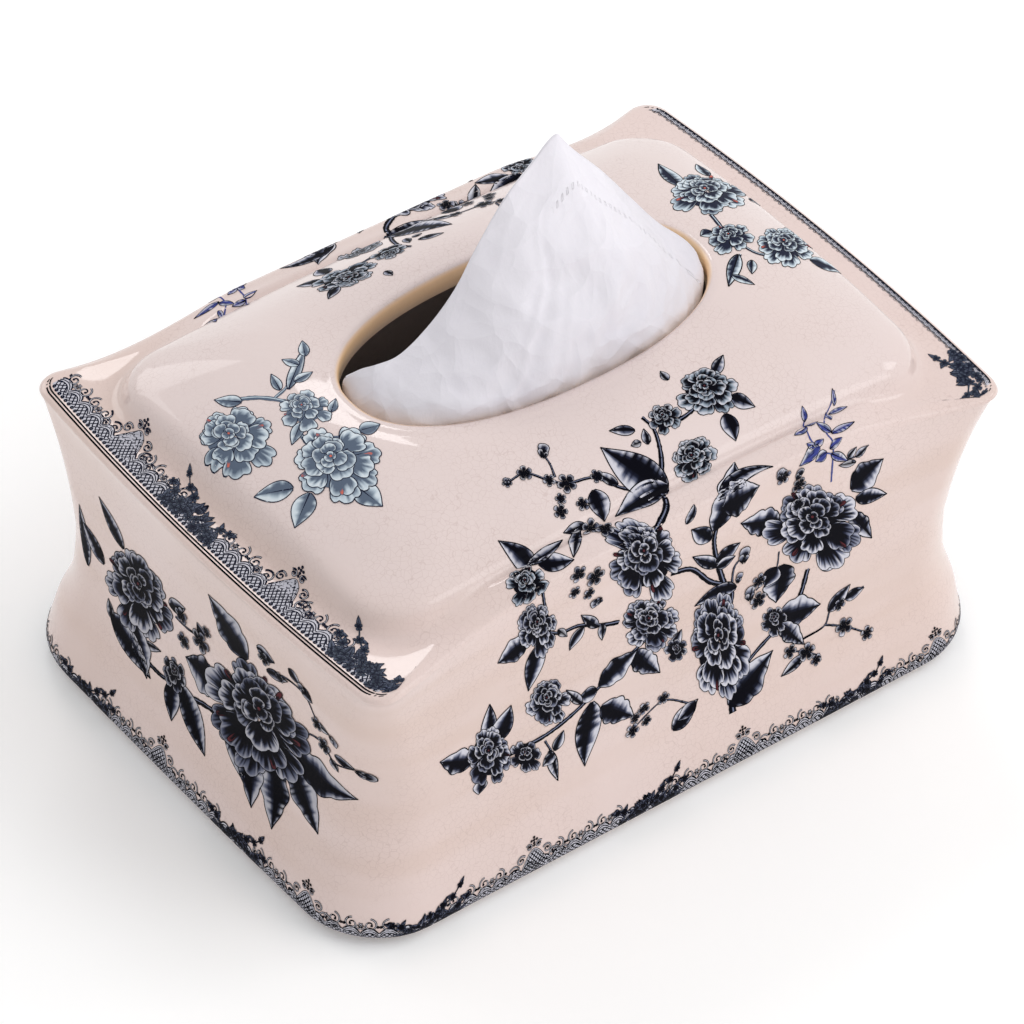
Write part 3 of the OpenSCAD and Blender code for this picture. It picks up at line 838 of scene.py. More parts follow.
    def leaf(self, at, turn, long, wide, layer, tones, bend=0.0, teeth=0):
        """A leaf with a dark spine, brushed out to pale edges and outlined."""
        chance = self.chance
        rows = int(np.clip(long / 0.62, 6, 34))
        columns = 2 * int(np.clip(wide / 1.3, 1, 5)) + 1
        u = np.linspace(0, 1, rows)
        angle = np.radians(turn + bend * (u - 0.3))
        steps = headings(angle) * long / (rows - 1)
        along = np.concatenate([[[0, 0]], np.cumsum(steps[:-1], 0)])
        spine = np.asarray(at) - unit(turn) * self.LEAF_BACK * long + self.LEAF_STRETCH * along
        across = np.stack([-np.sin(angle), np.cos(angle)], 1)
        half = wide / 2 * self.LEAF_FULLNESS * np.maximum(u, 0.01) ** 0.75 * np.maximum(1 - u, 0.0) ** 1.15
        if teeth:
            half = half * (1 + self.TOOTH_DEPTH * np.abs(np.sin(math.pi * teeth * u)) * np.sin(math.pi * u))
        v = np.linspace(-1, 1, columns)
        points = spine[:, None] + across[:, None] * (half[:, None] * v[None])[:, :, None]
        feather = np.array([chance.uniform(-0.3, 0.3) for _ in u])
        t = (0.3 + 0.72 * np.abs(v)[None] ** 1.2 + 0.4 * (u[:, None] - 0.45)
             + feather[:, None] * np.abs(v)[None])
        t = t + chance.choice((-0.2, 0.2)) * np.sign(v)[None]
        self.patch(points, shaded(tones, t), layer)
        rim = np.concatenate([points[:, 0], points[::-1, -1]])
        self.ribbon(rim, self.LINE * min(1, 0.5 + long / 24), tones[4], layer + 0.5)
        vein = int(rows * self.VEIN_SHARE)
        self.ribbon(spine[:vein], np.linspace(0.5, 0.1, vein), tones[4], layer + 0.6)

    def stem(self, places, start, end, layer, tones):
        """A stalk through the places, from one width to another, a little knotty."""
        line = curve_through(places, 0.8)
        knots = np.array([self.chance.uniform(0.86, 1.18) for _ in line])
        widths = np.linspace(start, end, len(line))
        self.ribbon(line, widths * knots, tones[0], layer)
        self.ribbon(line + 0.1 * start, widths * 0.22, tones[2], layer + 0.3)

    def bud(self, at, turn, size, layer, tones):
        """A closed bud in its two small leaves."""
        for over, (swing, share, spread) in enumerate(((0, 1, 30), (20, 0.66, 22), (-24, 0.55, 20))):
            self.petal(at, turn + swing, size * share, spread, layer + over, tones, 1, 0.3)

    def floret(self, at, size, layer, tones, petals=5):
        """A small round blossom with a dark middle."""
        offset = self.chance.uniform(0, 360)
        for k in range(petals):
            angle = offset + 360 * k / petals
            foot = np.asarray(at) + unit(angle) * size * 0.1
            self.petal(foot, angle, size * 0.9, 38, layer + k % 3, tones, 1, 0.3)
        self.dot(at, size * 0.28, tones[4], layer + 3.7)

    def dot(self, at, radius, colour, layer, sides=8):
        """A round dot."""
        rim = headings(np.linspace(0, math.tau, sides + 1)) * radius
        self.patch(np.asarray(at) + np.stack([rim * 0.1, rim]), colour, layer)

    def scroll(self, at, turn, radius, hand, layer, tones, width=0.5, turns=1.3):
        """A scroll that curls in on itself, dark with a pale core. Hand is 1 or -1."""
        t = np.linspace(0, 1, 22)
        angle = np.radians(turn) + hand * t * turns * math.tau
        line = np.asarray(at) + (radius * (1 - 0.78 * t))[:, None] * headings(angle)
        self.ribbon(line, width * (1.25 - 0.5 * t), tones[4], layer)
        self.ribbon(line[:15], width * 0.3, tones[3], layer + 0.4)
        self.dot(line[-1], width * 0.8, tones[4], layer + 0.6)

    def band(self, xs, low, high, colour, layer):
        """A filled strip between two edges, each a height or a list of heights."""
        xs = np.asarray(xs, float)
        edges = [np.stack([xs, np.broadcast_to(e, len(xs))], 1) for e in (low, high)]
        self.patch(np.stack(edges), colour, layer)

    def lattice(self, start, end, low, high, pitch, width, layer, colour):
        """Crossing slanted lines between a level edge and a top edge, given as a function."""
        rise = np.linspace(0, 16, 41)
        for hand in (1, -1):
            for x0 in np.arange(start - 20, end + 20, pitch):
                x, y = x0 + hand * rise * 0.8, low + rise
                run = np.flatnonzero((x > start) & (x < end) & (y < np.array([high(k) for k in x])))
                for part in np.split(run, np.flatnonzero(np.diff(run) > 1) + 1):
                    if len(part) > 1:
                        line = np.stack([x[part], y[part]], 1)
                        self.ribbon(line, width, colour, layer + (0.2 if hand > 0 else 0))

    def mirrored(self):
        """Turns the drawing round, left to right."""
        self.points = [p * np.array([-1, 1]) for p in self.points]

    def made(self, name, chart):
        """The drawing as a piece on the cover."""
        points = np.concatenate(self.points) * MM
        layers = np.concatenate(self.layers)
        faces = np.concatenate(self.faces)
        surface, normals = chart.put(points)
        raised = surface + normals * ((self.BASE + self.LAYER * layers) * MM)[:, None]
        a, b, c, d = (raised[faces[:, k]] for k in range(4))
        turned = (np.cross(c - a, d - b) * normals[faces[:, 0]]).sum(1) < 0
        faces[turned] = faces[turned, ::-1]
        piece = new_piece(name, raised, faces, "cover", made_once("paint", paint_material))
        paint = piece.data.color_attributes.new("paint", "FLOAT_COLOR", "POINT")
        colours = np.concatenate([np.concatenate(self.colours), np.ones((len(points), 1))], 1)
        paint.data.foreach_set("color", colours.astype(np.float32).ravel())
        piece.data.normals_split_custom_set_from_vertices(normals.tolist())


SHADE_PLACES = (0.54, 0.69, 0.82, 0.95)


def shaded(tones, t):
    """Colours from dark through the middle tones to pale as t goes from 0 to 1."""
    t = clamp(t)
    return np.stack([np.interp(t, SHADE_PLACES, [tones[j][k] for j in range(4)]) for k in range(3)], -1)


def curve_through(places, spacing):
    """Points a given distance apart on a smooth curve through the places."""
    rings = [np.array([[x, y, 0.0]]) for x, y in places]
    if len(rings) == 2:
        steps = max(2, round(math.dist(places[0], places[1]) / spacing))
        return np.linspace(places[0], places[1], steps + 1)
    return smooth_rows(rings, spacing)[:, 0, :2]


def tones_of(look, foot="ink"):
    """The five tones of a motif: foot, two middle tones, edge and outline."""
    return tuple(np.array(c) for c in (getattr(look, foot), look.deep, look.mist, look.pale, look.ink))


def paint_stems(art, table, tones):
    """Stalks, each as the places it runs through and its width at its start and at its end."""
    for places, start, end in table:
        art.stem(places, start, end, 0, tones)


def paint_leaves(art, table, low, cycle, tones):
    """Leaves, each as its place, turn, length and width, and some with a bend and a number of teeth."""
    for k, (x, y, turn, long, wide, *more) in enumerate(table):
        art.leaf((x, y), turn, long, wide, low + k % cycle, tones, *more)


def front_spray(art, look):
    """A long side's stalks, leaves and small blossoms, in millimetres from the middle and from the foot."""
    tones, violet = tones_of(look), tones_of(look, "violet")
    paint_stems(art, (
        (((18, 23), (18, 34), (15, 54)), 2.4, 1.6), (((15, 69), (12, 79), (10, 89), (11, 95)), 2.0, 1.5),
        (((-5, 85), (2, 83), (9, 75), (17, 68), (15, 54)), 1.8, 1.4),
        (((-62, 49), (-48, 49), (-38, 52), (-31, 56), (-19, 63), (-12, 66)), 1.9, 1.3),
        (((-15, 102), (-4, 109), (-2, 115), (3, 124), (5, 131), (4, 135)), 2.1, 1.1),
        (((8, 130), (15, 130), (24, 132)), 1.3, 1),
        (((-3, 114), (-13, 120), (-19, 126), (-27, 128), (-31, 131), (-36, 136), (-41, 136)), 1.1, 0.6),
        (((-29, 131), (-28, 135), (-28, 138)), 0.8, 0.6),
        (((-23, 77), (-29, 79), (-37, 83), (-44, 84), (-51, 89)), 1.5, 1),
        (((-49, 95), (-50, 101), (-51, 106)), 1.1, 0.9),
        (((45, 61), (42, 51), (36, 45), (27, 39), (20, 33)), 1.9, 1.5),
        (((17, 69), (18, 76), (21, 78)), 1, 0.7), (((26, 63), (33, 67), (34, 73)), 0.7, 0.6),
        (((45, 35), (53, 36), (55, 41), (61, 43), (67, 43)), 0.8, 0.6),
        (((53, 36), (60, 32), (68, 26)), 0.8, 0.6), (((-48, 47), (-45, 40), (-44, 32)), 0.8, 0.6),
        (((5, 32), (-6, 39), (-12, 37), (-17, 34)), 0.8, 0.5), (((-29, 88), (-32, 87)), 0.8, 0.5),
        (((40, 33), (46, 30), (51, 26)), 0.7, 0.5), (((55, 95), (62, 94), (65, 96)), 0.7, 0.5),
    ), tones)
    paint_leaves(art, (
        (-2, 115, 123, 20.0, 11.7, -14), (-2, 115, -179, 16.1, 8.2, 16), (32, 129, -46, 6.5, 4.8),
        (27, 125, -101, 7.1, 5.4), (32, 138, 33, 6.6, 3.3), (18, 142, 91, 3.1, 2.7),
        (1, 128, 71, 4.1, 2.7), (-1, 133, 156, 6.5, 3.1), (-1, 129, 177, 2.9, 2.2),
        (-14, 122, 125, 6.2, 3.1), (-21, 122, -97, 8.0, 6.4), (-31, 115, -130, 9.7, 3.6),
        (-29, 116, 175, 6.2, 3.0), (-48, 112, 117, 11.4, 6.4, 10), (-48, 112, 14, 11.9, 4.9),
        (-46, 110, -21, 8.8, 6.1), (-56, 87, -164, 9.2, 7.6, 0, 3), (-51, 82, -104, 13.4, 6.6),
        (-44, 85, -52, 4.6, 2.4), (-31, 80, 130, 8.3, 3.3), (-29, 79, -89, 5.4, 2.8),
        (-36, 81, -134, 6.6, 4.1, 30), (-68, 59, 88, 11.9, 5.3), (-65, 57, 64, 10.7, 7.7),
        (-74, 54, 152, 11.7, 7.2, 0, 3), (-70, 44, -101, 4.3, 5.1), (-46, 41, -77, 10.9, 3.4),
        (-45, 40, -149, 4.1, 4.6), (-44, 42, 65, 5.8, 4.0), (-28, 58, 25, 12.8, 7.9, 0, 3),
        (-17, 62, -51, 14.6, 6.3, 0, 4), (-31, 56, 179, 6.0, 5.5), (-32, 50, -96, 19.4, 8.9),
        (-27, 48, -40, 13.6, 7.7, 0, 4), (-36, 55, 126, 8.6, 3.0), (-2, 28, 31, 9.8, 6.2),
        (0, 101, 57, 5.3, 3.2), (11, 80, 140, 11.0, 4.0), (12, 81, 19, 7.8, 5.5), (12, 79, 6, 5.9, 3.9),
        (8, 91, 135, 9.0, 5.5), (11, 95, 60, 19.4, 9.2, -16, 4), (13, 104, 16, 18.2, 4.2, -60),
        (14, 100, 6, 11.2, 10.9, 0, 4), (17, 68, 169, 13.2, 5.6, 40), (32, 85, 156, 13.6, 7.7, 0, 4),
        (61, 83, 28, 10.9, 10.2, 0, 3), (63, 78, -20, 10.6, 5.2), (61, 72, -57, 13.6, 5.1, 0, 3),
        (51, 59, 7, 8.8, 6.2), (35, 66, -96, 11.4, 9.9, 0, 3), (33, 67, -130, 5.8, 7.2),
        (36, 48, -12, 14.9, 9.9, 0, 3), (37, 44, -53, 13.7, 5.1, 0, 3), (55, 41, 40, 8.6, 5.7),
        (61, 42, 5, 6.1, 4.2), (19, 27, 33, 17.3, 11.0, 0, 3), (44, 29, -161, 8.1, 3.6),
        (5, 32, -157, 6.7, 4.9), (-4, 57, 59, 6.5, 4.6), (60, 92, 163, 5.8, 2.5), (61, 94, 29, 4.0, 3.3),
        (58, 95, 43, 3.5, 3.0),
    ), 2, 5, tones)
    florets = (
        (-27, 128, 2.9), (-31, 131, 1.9), (-36, 136, 2.3), (-42, 136, 1.5), (-27, 114, 2.9),
        (-24, 111, 2.7), (-33, 122, 2.2), (-31, 125, 1.7), (-26, 121, 2.0), (-18, 126, 2.0),
        (-38, 102, 2.7), (-32, 98, 3.2), (-39, 96, 2.0), (-34, 93, 2.0), (-13, 40, 2.2), (-6, 40, 2.2),
        (-17, 34, 2.5), (-12, 35, 1.8), (-16, 38, 1.8), (46, 30, 3.1), (60, 32, 3.2), (68, 26, 2.4),
        (49, 26, 2.0), (40, 33, 2.5), (27, 66, 2.6), (27, 59, 3.0), (34, 100, 2.6), (40, 94, 2.6),
        (58, 41, 2.3), (40, 87, 2.6),
    )
    for k, (x, y, size) in enumerate(florets):
        art.floret((x, y), size, 40 + 5 * (k % 3), tones)
    buds = (
        (-29, 137, 51, 5.0), (21, 75, 86, 6.1), (19, 69, 73, 3.8), (-29, 89, -169, 4.4), (39, 96, 68, 4.1),
        (-42, 135, 88, 2.5), (24, 60, 93, 5.6), (33, 99, 92, 4.6),
    )
    for k, (x, y, turn, size) in enumerate(buds):
        art.bud((x, y), turn, size, 46 + 4 * (k % 2), tones)
    for places in (((52, 89), (52, 99), (52, 108), (62, 117)), ((52, 99), (46, 104), (47, 111), (50, 117))):
        art.stem(places, 0.6, 0.4, 1, violet)
    paint_leaves(art, (
        (60, 114, 66, 4.1, 1.5), (58, 112, -10, 5.9, 1.7), (54, 106, -2, 8.0, 2.1), (53, 107, 115, 4.5, 2.7),
        (56, 110, 82, 3.2, 1.7), (49, 115, 74, 3.8, 2.0), (47, 111, -175, 4.4, 2.1), (48, 112, -9, 4.0, 1.8),
        (45, 105, 120, 2.0, 2.5), (46, 104, -154, 6.9, 4.7), (49, 101, -160, 3.7, 4.8),
        (52, 99, -42, 7.6, 2.8),
        (51, 102, 20, 4.2, 3.1), (46, 105, 11, 3.4, 2.1),
    ), 4, 3, violet)


def front_blossoms(art, look):
    """The blossoms of a long side's spray."""
    tones = tones_of(look)
    blue = tuple(np.array(tone) for tone in (look.ink, look.slate, look.sky, look.pale, look.ink))
    blooms = (
        (-14.6, 95.7, 19.7, 31, 0.57, 6, 3, 0), (46.5, 76.5, 23.3, 42, 0.56, 6, 4, 0),
        (13.4, 49.7, 23.4, 16, 0.47, 6, 4, 1), (-12.0, 71.0, 14.2, 40, 0.57, 6, 3, 0),
        (26.4, 134.3, 10.1, 85, 0.78, 6, 1, 2), (9.7, 132.4, 5.9, 99, 0.83, 5, 0, 2),
        (11.0, 118.5, 8.1, 89, 0.82, 6, 1, 2), (-53.3, 106.8, 7.0, 136, 0.77, 5, 2, 2),
        (-51.5, 90.4, 11.7, 20, 0.55, 6, 0, 0), (-47.6, 61.4, 11.1, 31, 0.59, 6, 1, 0),
        (-67.5, 52.5, 13.4, 24, 0.56, 6, 1, 0), (-54.9, 45.8, 8.0, 31, 0.56, 4, 0, 1),
        (33.6, 48.3, 7.6, 31, 0.55, 4, 0, 0), (-2.2, 56.2, 5.9, 36, 0.56, 4, 0, 0),
    )
    for x, y, size, turn, ratio, rings, rust, kind in blooms:
        art.bloom((x, y), size, turn, ratio, 8 + 24 * (kind == 1), blue if kind == 2 else tones, rings, rust)


def end_spray(art, look):
    """The spray of a short side, in millimetres from the middle and up from the foot."""
    tones = tuple(tone * 0.72 for tone in tones_of(look))
    paint_stems(art, (
        (((23, 33), (17, 33), (12, 34)), 1.6, 1.2), (((6, 34), (-2, 37), (-12, 39)), 2.1, 1.6),
        (((-12, 34), (-20, 31), (-30, 26)), 1.2, 0.7),
        (((-32, 73), (-40, 77), (-48, 77), (-53, 71), (-58, 70)), 0.9, 0.6),
        (((-42, 59), (-52, 64), (-56, 64), (-60, 61), (-66, 63)), 0.9, 0.6),
        (((12, 59), (6, 59), (-1, 61)), 1, 0.7),
    ), tones)
    paint_leaves(art, (
        (38, 67, 47, 14, 6.3), (55, 48, 78, 18, 5), (48, 53, 38, 12, 6.0), (40, 36, -162, 19.9, 9.1, 12),
        (12, 33, -110, 10.2, 7.0), (7, 35, -140, 18.9, 9.0), (-15, 33, -154, 17.6, 6.2, 10),
        (-20, 71, 38, 17.9, 13.0, 0, 3), (-28, 79, 180, 6.9, 5.0), (-32, 73, 160, 8.9, 3.4),
        (-42, 82, -148, 4.9, 4.0), (-47, 79, -148, 4.9, 4.2), (-53, 70, -178, 5.1, 2.6),
        (-61, 64, -174, 5.4, 3.2), (-59, 61, -131, 3.5, 3.0), (-34, 40, -106, 20.0, 11.0, 0, 3),
        (-43, 45, -133, 19.0, 11.0, 0, 3), (-46, 50, 177, 20.0, 11.0, 0, 3), (-6, 47, 3, 12.7, 11.8, 0, 3),
        (42, 36, 69, 5.5, 3.4), (-1, 62, 50, 4.0, 4.0), (26, 38, 159, 8.2, 2.8),
        (-24, 36, -112, 16.0, 9.0, 0, 3), (30, 40, -122, 14.0, 8.0, 0, 3), (14, 62, 150, 8.0, 5.0),
    ), 2, 5, tones)
    art.bloom((30.2, 54.7), 19.3, 46, 0.82, 8, tones, 6, 5)
    art.bloom((-26.4, 51.0), 27.0, 49, 0.7, 32, tones, 6, 7)
    art.bloom((11.6, 38.2), 6.3, 18, 0.87, 8, tones, 5)
    florets = ((0, 59, 4.0), (9, 62, 2.9), (8, 53, 2.8), (-30, 77, 2.7), (-37, 75, 1.8), (-53, 70, 2.3),
               (-56, 64, 2.7), (-3, 65, 2))
    for k, (x, y, size) in enumerate(florets):
        art.floret((x, y), size, 60 + 5 * (k % 3), tones)
    for x, y, turn, size in ((-66, 63, 190, 5), (-58, 70, 200, 4), (-48, 77, 60, 4)):
        art.bud((x, y), turn, size, 60, tones)


def top_sprays(art, look):
    """The small sprays on top, in millimetres in plan: pale on the left and darker on the right, the left's
    paleness partly their own print and partly painted reflection.
    """
    ink, deep, slate, sky, teal = (
        np.array(colour) for colour in (look.ink, look.deep, look.slate, look.sky, look.teal))
    # The pale tones on the left are partly the sprays' own paler print and partly a painted reflection of the
    # light on the left of the top.
    pale_tones = (slate, mix(slate, sky, 0.9), mix(sky, teal, 0.9), mix(teal, 1.0, 0.3), deep)
    dark_tones = (mix(ink, deep, 0.9), mix(slate, sky, 0.4), mix(sky, teal, 0.8), mix(teal, 1.0, 0.3), ink)

    def tones_at(x):
        return dark_tones if x > 0 else pale_tones
    stems = (
        (((-84, 27), (-77, 20), (-73, 13), (-71, 7)), 1.6, 1.2),
        (((-74, 16), (-69, 17), (-59, 25)), 1.1, 0.7), (((-72, 5), (-76, 2), (-78, -6)), 1.2, 1.0),
        (((73, 8), (71, -3), (74, -13), (89, -11)), 1.5, 1.0),
        (((68, -11), (62, -16), (57, -20)), 1.0, 0.6),
    )
    for places, start, end in stems:
        art.stem(places, start, end, 0, tones_at(places[0][0]))
    leaves = (
        (-68, 17, 38, 14.4, 3.5), (-71, 18, 74, 6.4, 2.7), (-66, 17, -3, 5.2, 3.4),
        (-81, 23, 120, 7.1, 3.9), (-89, -11, 137, 9.1, 5.9), (-87, -17, -150, 8.5, 6.6),
        (-76, -25, -82, 8.8, 6.6), (-64, -10, -16, 5.2, 4.9), (-75, 3, -146, 6.5, 3.6),
        (-66, 1, 40, 4.7, 2.8), (-58, 24, 60, 6, 3), (-62, 22, 110, 5, 3), (76, 26, 77, 12.7, 6.0),
        (95, 15, 4, 8.4, 4.0), (66, -12, -140, 13.0, 3.9), (69, -15, -130, 5.6, 2.8),
        (90, -18, -30, 9.0, 7.0), (90, 30, 75, 6.8, 4.2), (67, 1, -178, 3.8, 3.9), (60, -18, -60, 6, 3),
    )
    for k, (x, y, turn, long, wide) in enumerate(leaves):
        art.leaf((x, y), turn, long, wide, 2 + k % 4, tones_at(x))
    blooms = (
        (-88.8, 14.3, 13.7, 3, 0.69, 6, 3), (-75.5, -14.0, 14.1, 5, 0.83, 6, 4),
        (-70.6, 6.9, 8.5, 0, 0.83, 5, 1), (81.9, 19.8, 17.8, 116, 0.6, 6, 3),
        (70.8, -3.1, 9.5, 115, 0.65, 5, 1), (86.7, -9.4, 15.3, 122, 0.55, 6, 2),
    )
    for k, (x, y, size, turn, ratio, rings, rust) in enumerate(blooms):
        art.bloom((x, y), size, turn, ratio, 8 + 24 * (k % 3 == 1), tones_at(x), rings, rust)


def crown(art, x, low, scale, tones):
    """A lace peak: a latticed bell between scrolls, with a small cross of dots on top."""
    ink, wash = tones[4], mix(tones[2], tones[3], 0.8)

    def bell(k):
        d = abs(k - x) / (5.4 * scale)
        return low + scale * (3.4 + 7.2 * max(0.0, 1 - d ** 1.7)) if d < 1 else low
    ks = np.linspace(x - 5.3 * scale, x + 5.3 * scale, 25)
    heights = np.array([bell(k) for k in ks])
    line = np.stack([ks, heights], 1)
    art.band(ks, low, heights, wash, 3)
    art.lattice(x - 5.2 * scale, x + 5.2 * scale, low, lambda k: bell(k) - 0.3, 1.35, 0.36, 4, ink)
    art.ribbon(line, 0.6, ink, 5)
    art.ribbon(line[1:-1], 0.2, tones[3], 5.3)
    scrolls = ((8.2, 5.2, 2.5, 1), (5.4, 8.4, 1.9, -1), (2.0, 11.9, 1.35, 1), (12.2, 4.0, 1.9, 1))
    for side in (-1, 1):
        for dx, dy, radius, hand in scrolls:
            art.scroll((x + side * dx * scale, low + dy * scale), 90 - side * hand * 60, radius * scale,
                       side * hand, 6, tones, 0.62 * scale)
    for dx, dy in ((0, 13.0), (0, 14.1), (0, 15.2), (-1.1, 14.1), (1.1, 14.1), (0, 12)):
        art.dot((x + dx * scale, low + dy * scale), 0.55 * scale, ink, 7)


POSY_REACH = 13
POSY_FLORETS, POSY_LEAVES = 34, 22


def posy(art, x, low, scale, tones):
    """A long cluster of tiny dark florets that breaks up the lace, with a spray at one end."""
    chance = art.chance
    dark = (tones[0], tones[0], tones[1], tones[2], tones[4])

    def mound(dx, rise):
        """Height of the cluster's outline."""
        return 1.2 + rise * math.exp(-((dx - 1) / 8) ** 2)
    for k in range(POSY_FLORETS):
        dx = chance.uniform(-POSY_REACH, POSY_REACH)
        size = chance.uniform(1.3, 2.0) * scale
        dy = chance.uniform(0.2, mound(dx, 6.4))
        art.floret((x + dx * scale, low + dy * scale), size, 8 + 5 * (k % 3), dark)
    for _ in range(POSY_LEAVES):
        dx = chance.uniform(-POSY_REACH, POSY_REACH)
        place = (x + dx * scale, low + mound(dx, 6.0) * 0.8 * scale)
        art.leaf(place, chance.uniform(20, 160), 4 * scale, 2 * scale, 7, dark)
    stalks = (((2, 6), (6, 8.4), (10, 10), (13, 13)), ((8, 3), (12, 5.4), (16, 7.4)),
              ((-6, 4), (-10, 6.6), (-13, 7.6)))
    for stalk in stalks:
        places = [(x + dx * scale, low + dy * scale) for dx, dy in stalk]
        art.stem(places, 0.6, 0.4, 7, dark)
        for k, place in enumerate(places[1:]):
            art.floret(place, (1.7 - 0.2 * k) * scale, 23, dark)
            art.leaf(place, 60 + 100 * (k % 2), 3 * scale, 1.5 * scale, 9, dark)


def lace(art, start, end, low, peaks, posies, tones, scale=1.0, height=5.0):
    """A lace band between two places: bead row, lattice, scrolls, and at the marks its peaks and posies."""
    ink = tones[4]
    pitch = (end - start) / max(1, round((end - start) / (6.2 * scale)))

    def top(x):
        share = (x - start) / pitch % 1.0
        return low + height * (0.62 + 0.38 * math.sin(math.pi * share) ** 0.7)
    xs = np.arange(start, end + 0.01, 0.5)
    tops = np.array([top(x) for x in xs])
    art.band(xs, low, tops, mix(tones[2], tones[3], 0.8), 0)
    art.lattice(start, end, low + 0.9, lambda x: top(x) - 1.6, 1.55, 0.4, 1, ink)
    art.band(xs, tops - 1.9, tops, mix(tones[2], tones[3], 0.9), 2)
    for down, width in ((0.0, 0.5), (0.95, 0.34), (1.8, 0.4)):
        art.ribbon(np.stack([xs, tops - down], 1), width, ink, 3)
    for x in np.arange(start + 0.8, end, 1.7):
        art.dot((x, low + 0.35), 0.7, ink, 2, 6)
    for k, x in enumerate(np.arange(start + pitch / 2, end, pitch)):
        if all(abs(x - mark) > 9 * scale for mark in peaks + posies):
            hand = 1 if k % 2 else -1
            art.scroll((x, top(x) + 1.2 * scale), 90, 2.4 * scale, hand, 3, tones, 0.6 * scale)
            beside = (x + 2.4 * hand * scale, top(x) + 0.3 * scale)
            art.scroll(beside, 90, 1.3 * scale, -hand, 4, tones, 0.5 * scale)
            art.dot((x - 2.6 * hand * scale, top(x) + 0.6 * scale), 0.6 * scale, ink, 5)
    for x in peaks:
        crown(art, x, low + 1.2, scale, tones)
    for x in posies:
        posy(art, x, low + 0.6, scale, tones)


# The sheet's free edge: the share along the edge, then its place as shares of the slot's half length and half
# width, and its height above the lip as a share of the tip's.
SHEET_EDGE = np.array((
    (0, -0.97, 0.28, 0.02), (0.08, -0.9, 0.19, 0.08), (0.15, -0.84, 0.1, 0.11), (0.22, -0.74, 0.05, 0.13),
    (0.3, -0.59, 0.03, 0.23), (0.4, -0.43, 0.03, 0.4), (0.48, -0.3, 0.05, 0.61), (0.56, -0.14, 0.09, 0.81),
    (0.63, 0.03, 0.13, 0.94), (0.67, 0.14, 0.16, 1.02), (0.69, 0.18, 0.17, 1.03), (0.71, 0.22, 0.18, 0.98),
    (0.74, 0.29, 0.18, 0.88), (0.8, 0.47, 0.2, 0.66), (0.86, 0.68, 0.2, 0.37), (0.91, 0.85, 0.12, 0.14),
    (0.95, 0.95, -0.08, 0.04), (0.98, 0.965, -0.18, -0.01), (1, 0.96, -0.22, -0.1)))
SHEET_FROM, SHEET_TO = 160, 340
GATHER_SHARES = (0.52, 0.1)
BELLY_RISE = 28
LOW_ROWS, HIGH_ROWS = 24, 80


def sheet_points(form, sizes, columns):
    """The points of the sheet, from the stack up through the slot to its free edge."""
    slot_a, slot_b = form.size.slot_length / 2, form.size.slot_width / 2
    a, b = slot_a - sizes.sheet_gap, slot_b - sizes.sheet_gap
    s = np.linspace(0, 1, columns)
    turn = np.radians(mix(SHEET_FROM, SHEET_TO, s))
    power = 2 / CoverForm.SLOT_FULLNESS
    c, sn = np.cos(turn), np.sin(turn)
    wall = np.stack([a * np.sign(c) * abs(c) ** power, b * np.sign(sn) * abs(sn) ** power,
                     np.full(columns, form.size.slot_height - form.size.wall)], 1)
    top = 2 * sizes.film + sizes.stack_height + sizes.film_gap + sizes.foot_gap
    root = np.stack([wall[:, 0] * GATHER_SHARES[0], wall[:, 1] * GATHER_SHARES[1], np.full(columns, top)], 1)
    shares = np.stack([smooth_lookup(SHEET_EDGE[:, 0], SHEET_EDGE[:, k], s) for k in (1, 2, 3)], 1)
    edge = np.stack([slot_a * shares[:, 0], slot_b * shares[:, 1],
                     form.size.slot_height + sizes.sheet_rise * shares[:, 2]], 1)
    edge = inside_slot(edge, a, b)
    tip = edge[np.argmax(edge[:, 2])]
    way = np.array([0, -math.cos(math.radians(BELLY_RISE)), math.sin(math.radians(BELLY_RISE))])
    rows = []
    for t in np.arange(LOW_ROWS) / LOW_ROWS:
        shares = (ease(t), ease(t), t)
        rows.append(np.stack([mix(root[:, k], wall[:, k], share) for k, share in enumerate(shares)], 1))
    for t in (k / HIGH_ROWS for k in range(HIGH_ROWS + 1)):
        out = 1.8 * sizes.sheet_belly * math.sin(math.pi * t) * (1 - t) ** 0.8 * np.sin(math.pi * s)
        flat = mix(wall, edge, t) + way * out[:, None]
        push = (folds(flat, tip, sizes) + crumple(flat)) * (1 - t**4)
        rows.append(inside_slot(flat + way * push[:, None], a, b))
    return np.array(rows)


def smooth_lookup(places, values, s):
    """Values between the table's rows, on smooth curves."""
    rings = [np.array([[p, v, 0.0]]) for p, v in zip(places, values)]
    line = smooth_rows(rings, 0.01)[:, 0]
    return np.interp(s, line[:, 0], line[:, 1])


def inside_slot(points, a, b):
    """Keeps points of the sheet inside the slot's outline."""
    power = CoverForm.SLOT_FULLNESS
    reach = (abs(points[:, 0] / a) ** power + abs(points[:, 1] / b) ** power) ** (1 / power)
    shrink = 1 / np.maximum(reach, 1)
    return points * np.stack([shrink, shrink, np.ones(len(points))], 1)


# Creases that run down from the tip: their turn and width in degrees, and their depth in millimetres.
FOLD_TURNS = ((-38, 5, 0.5), (-24, 3, 0.6), (-8, 6, 0.3), (12, 4, 0.3), (30, 5, 0.5), (-31, 1.2, 0.5),
              (-18, 1.3, 0.5), (3, 1.6, 0.3), (20, 2, 0.3), (-46, 1.5, 0.5), (40, 2, 0.3), (-12, 1, 0.3))


def folds(points, tip, sizes):
    """How far the creases that run down from the tip push the sheet out."""
    down = np.linalg.norm(points - tip, axis=1)
    turn = np.degrees(np.arctan2(points[:, 0] - tip[0], tip[2] - points[:, 2]))
    near = ease(down / (sizes.sheet_rise * 0.5))
    wander = 2.0 * np.sin(down / (9 * MM)) + 1.2 * np.sin(down / (4 * MM) + 1)
    push = sum(depth * np.exp(-((turn + wander - at) / width) ** 2) for at, width, depth in FOLD_TURNS)
    return push * near * MM


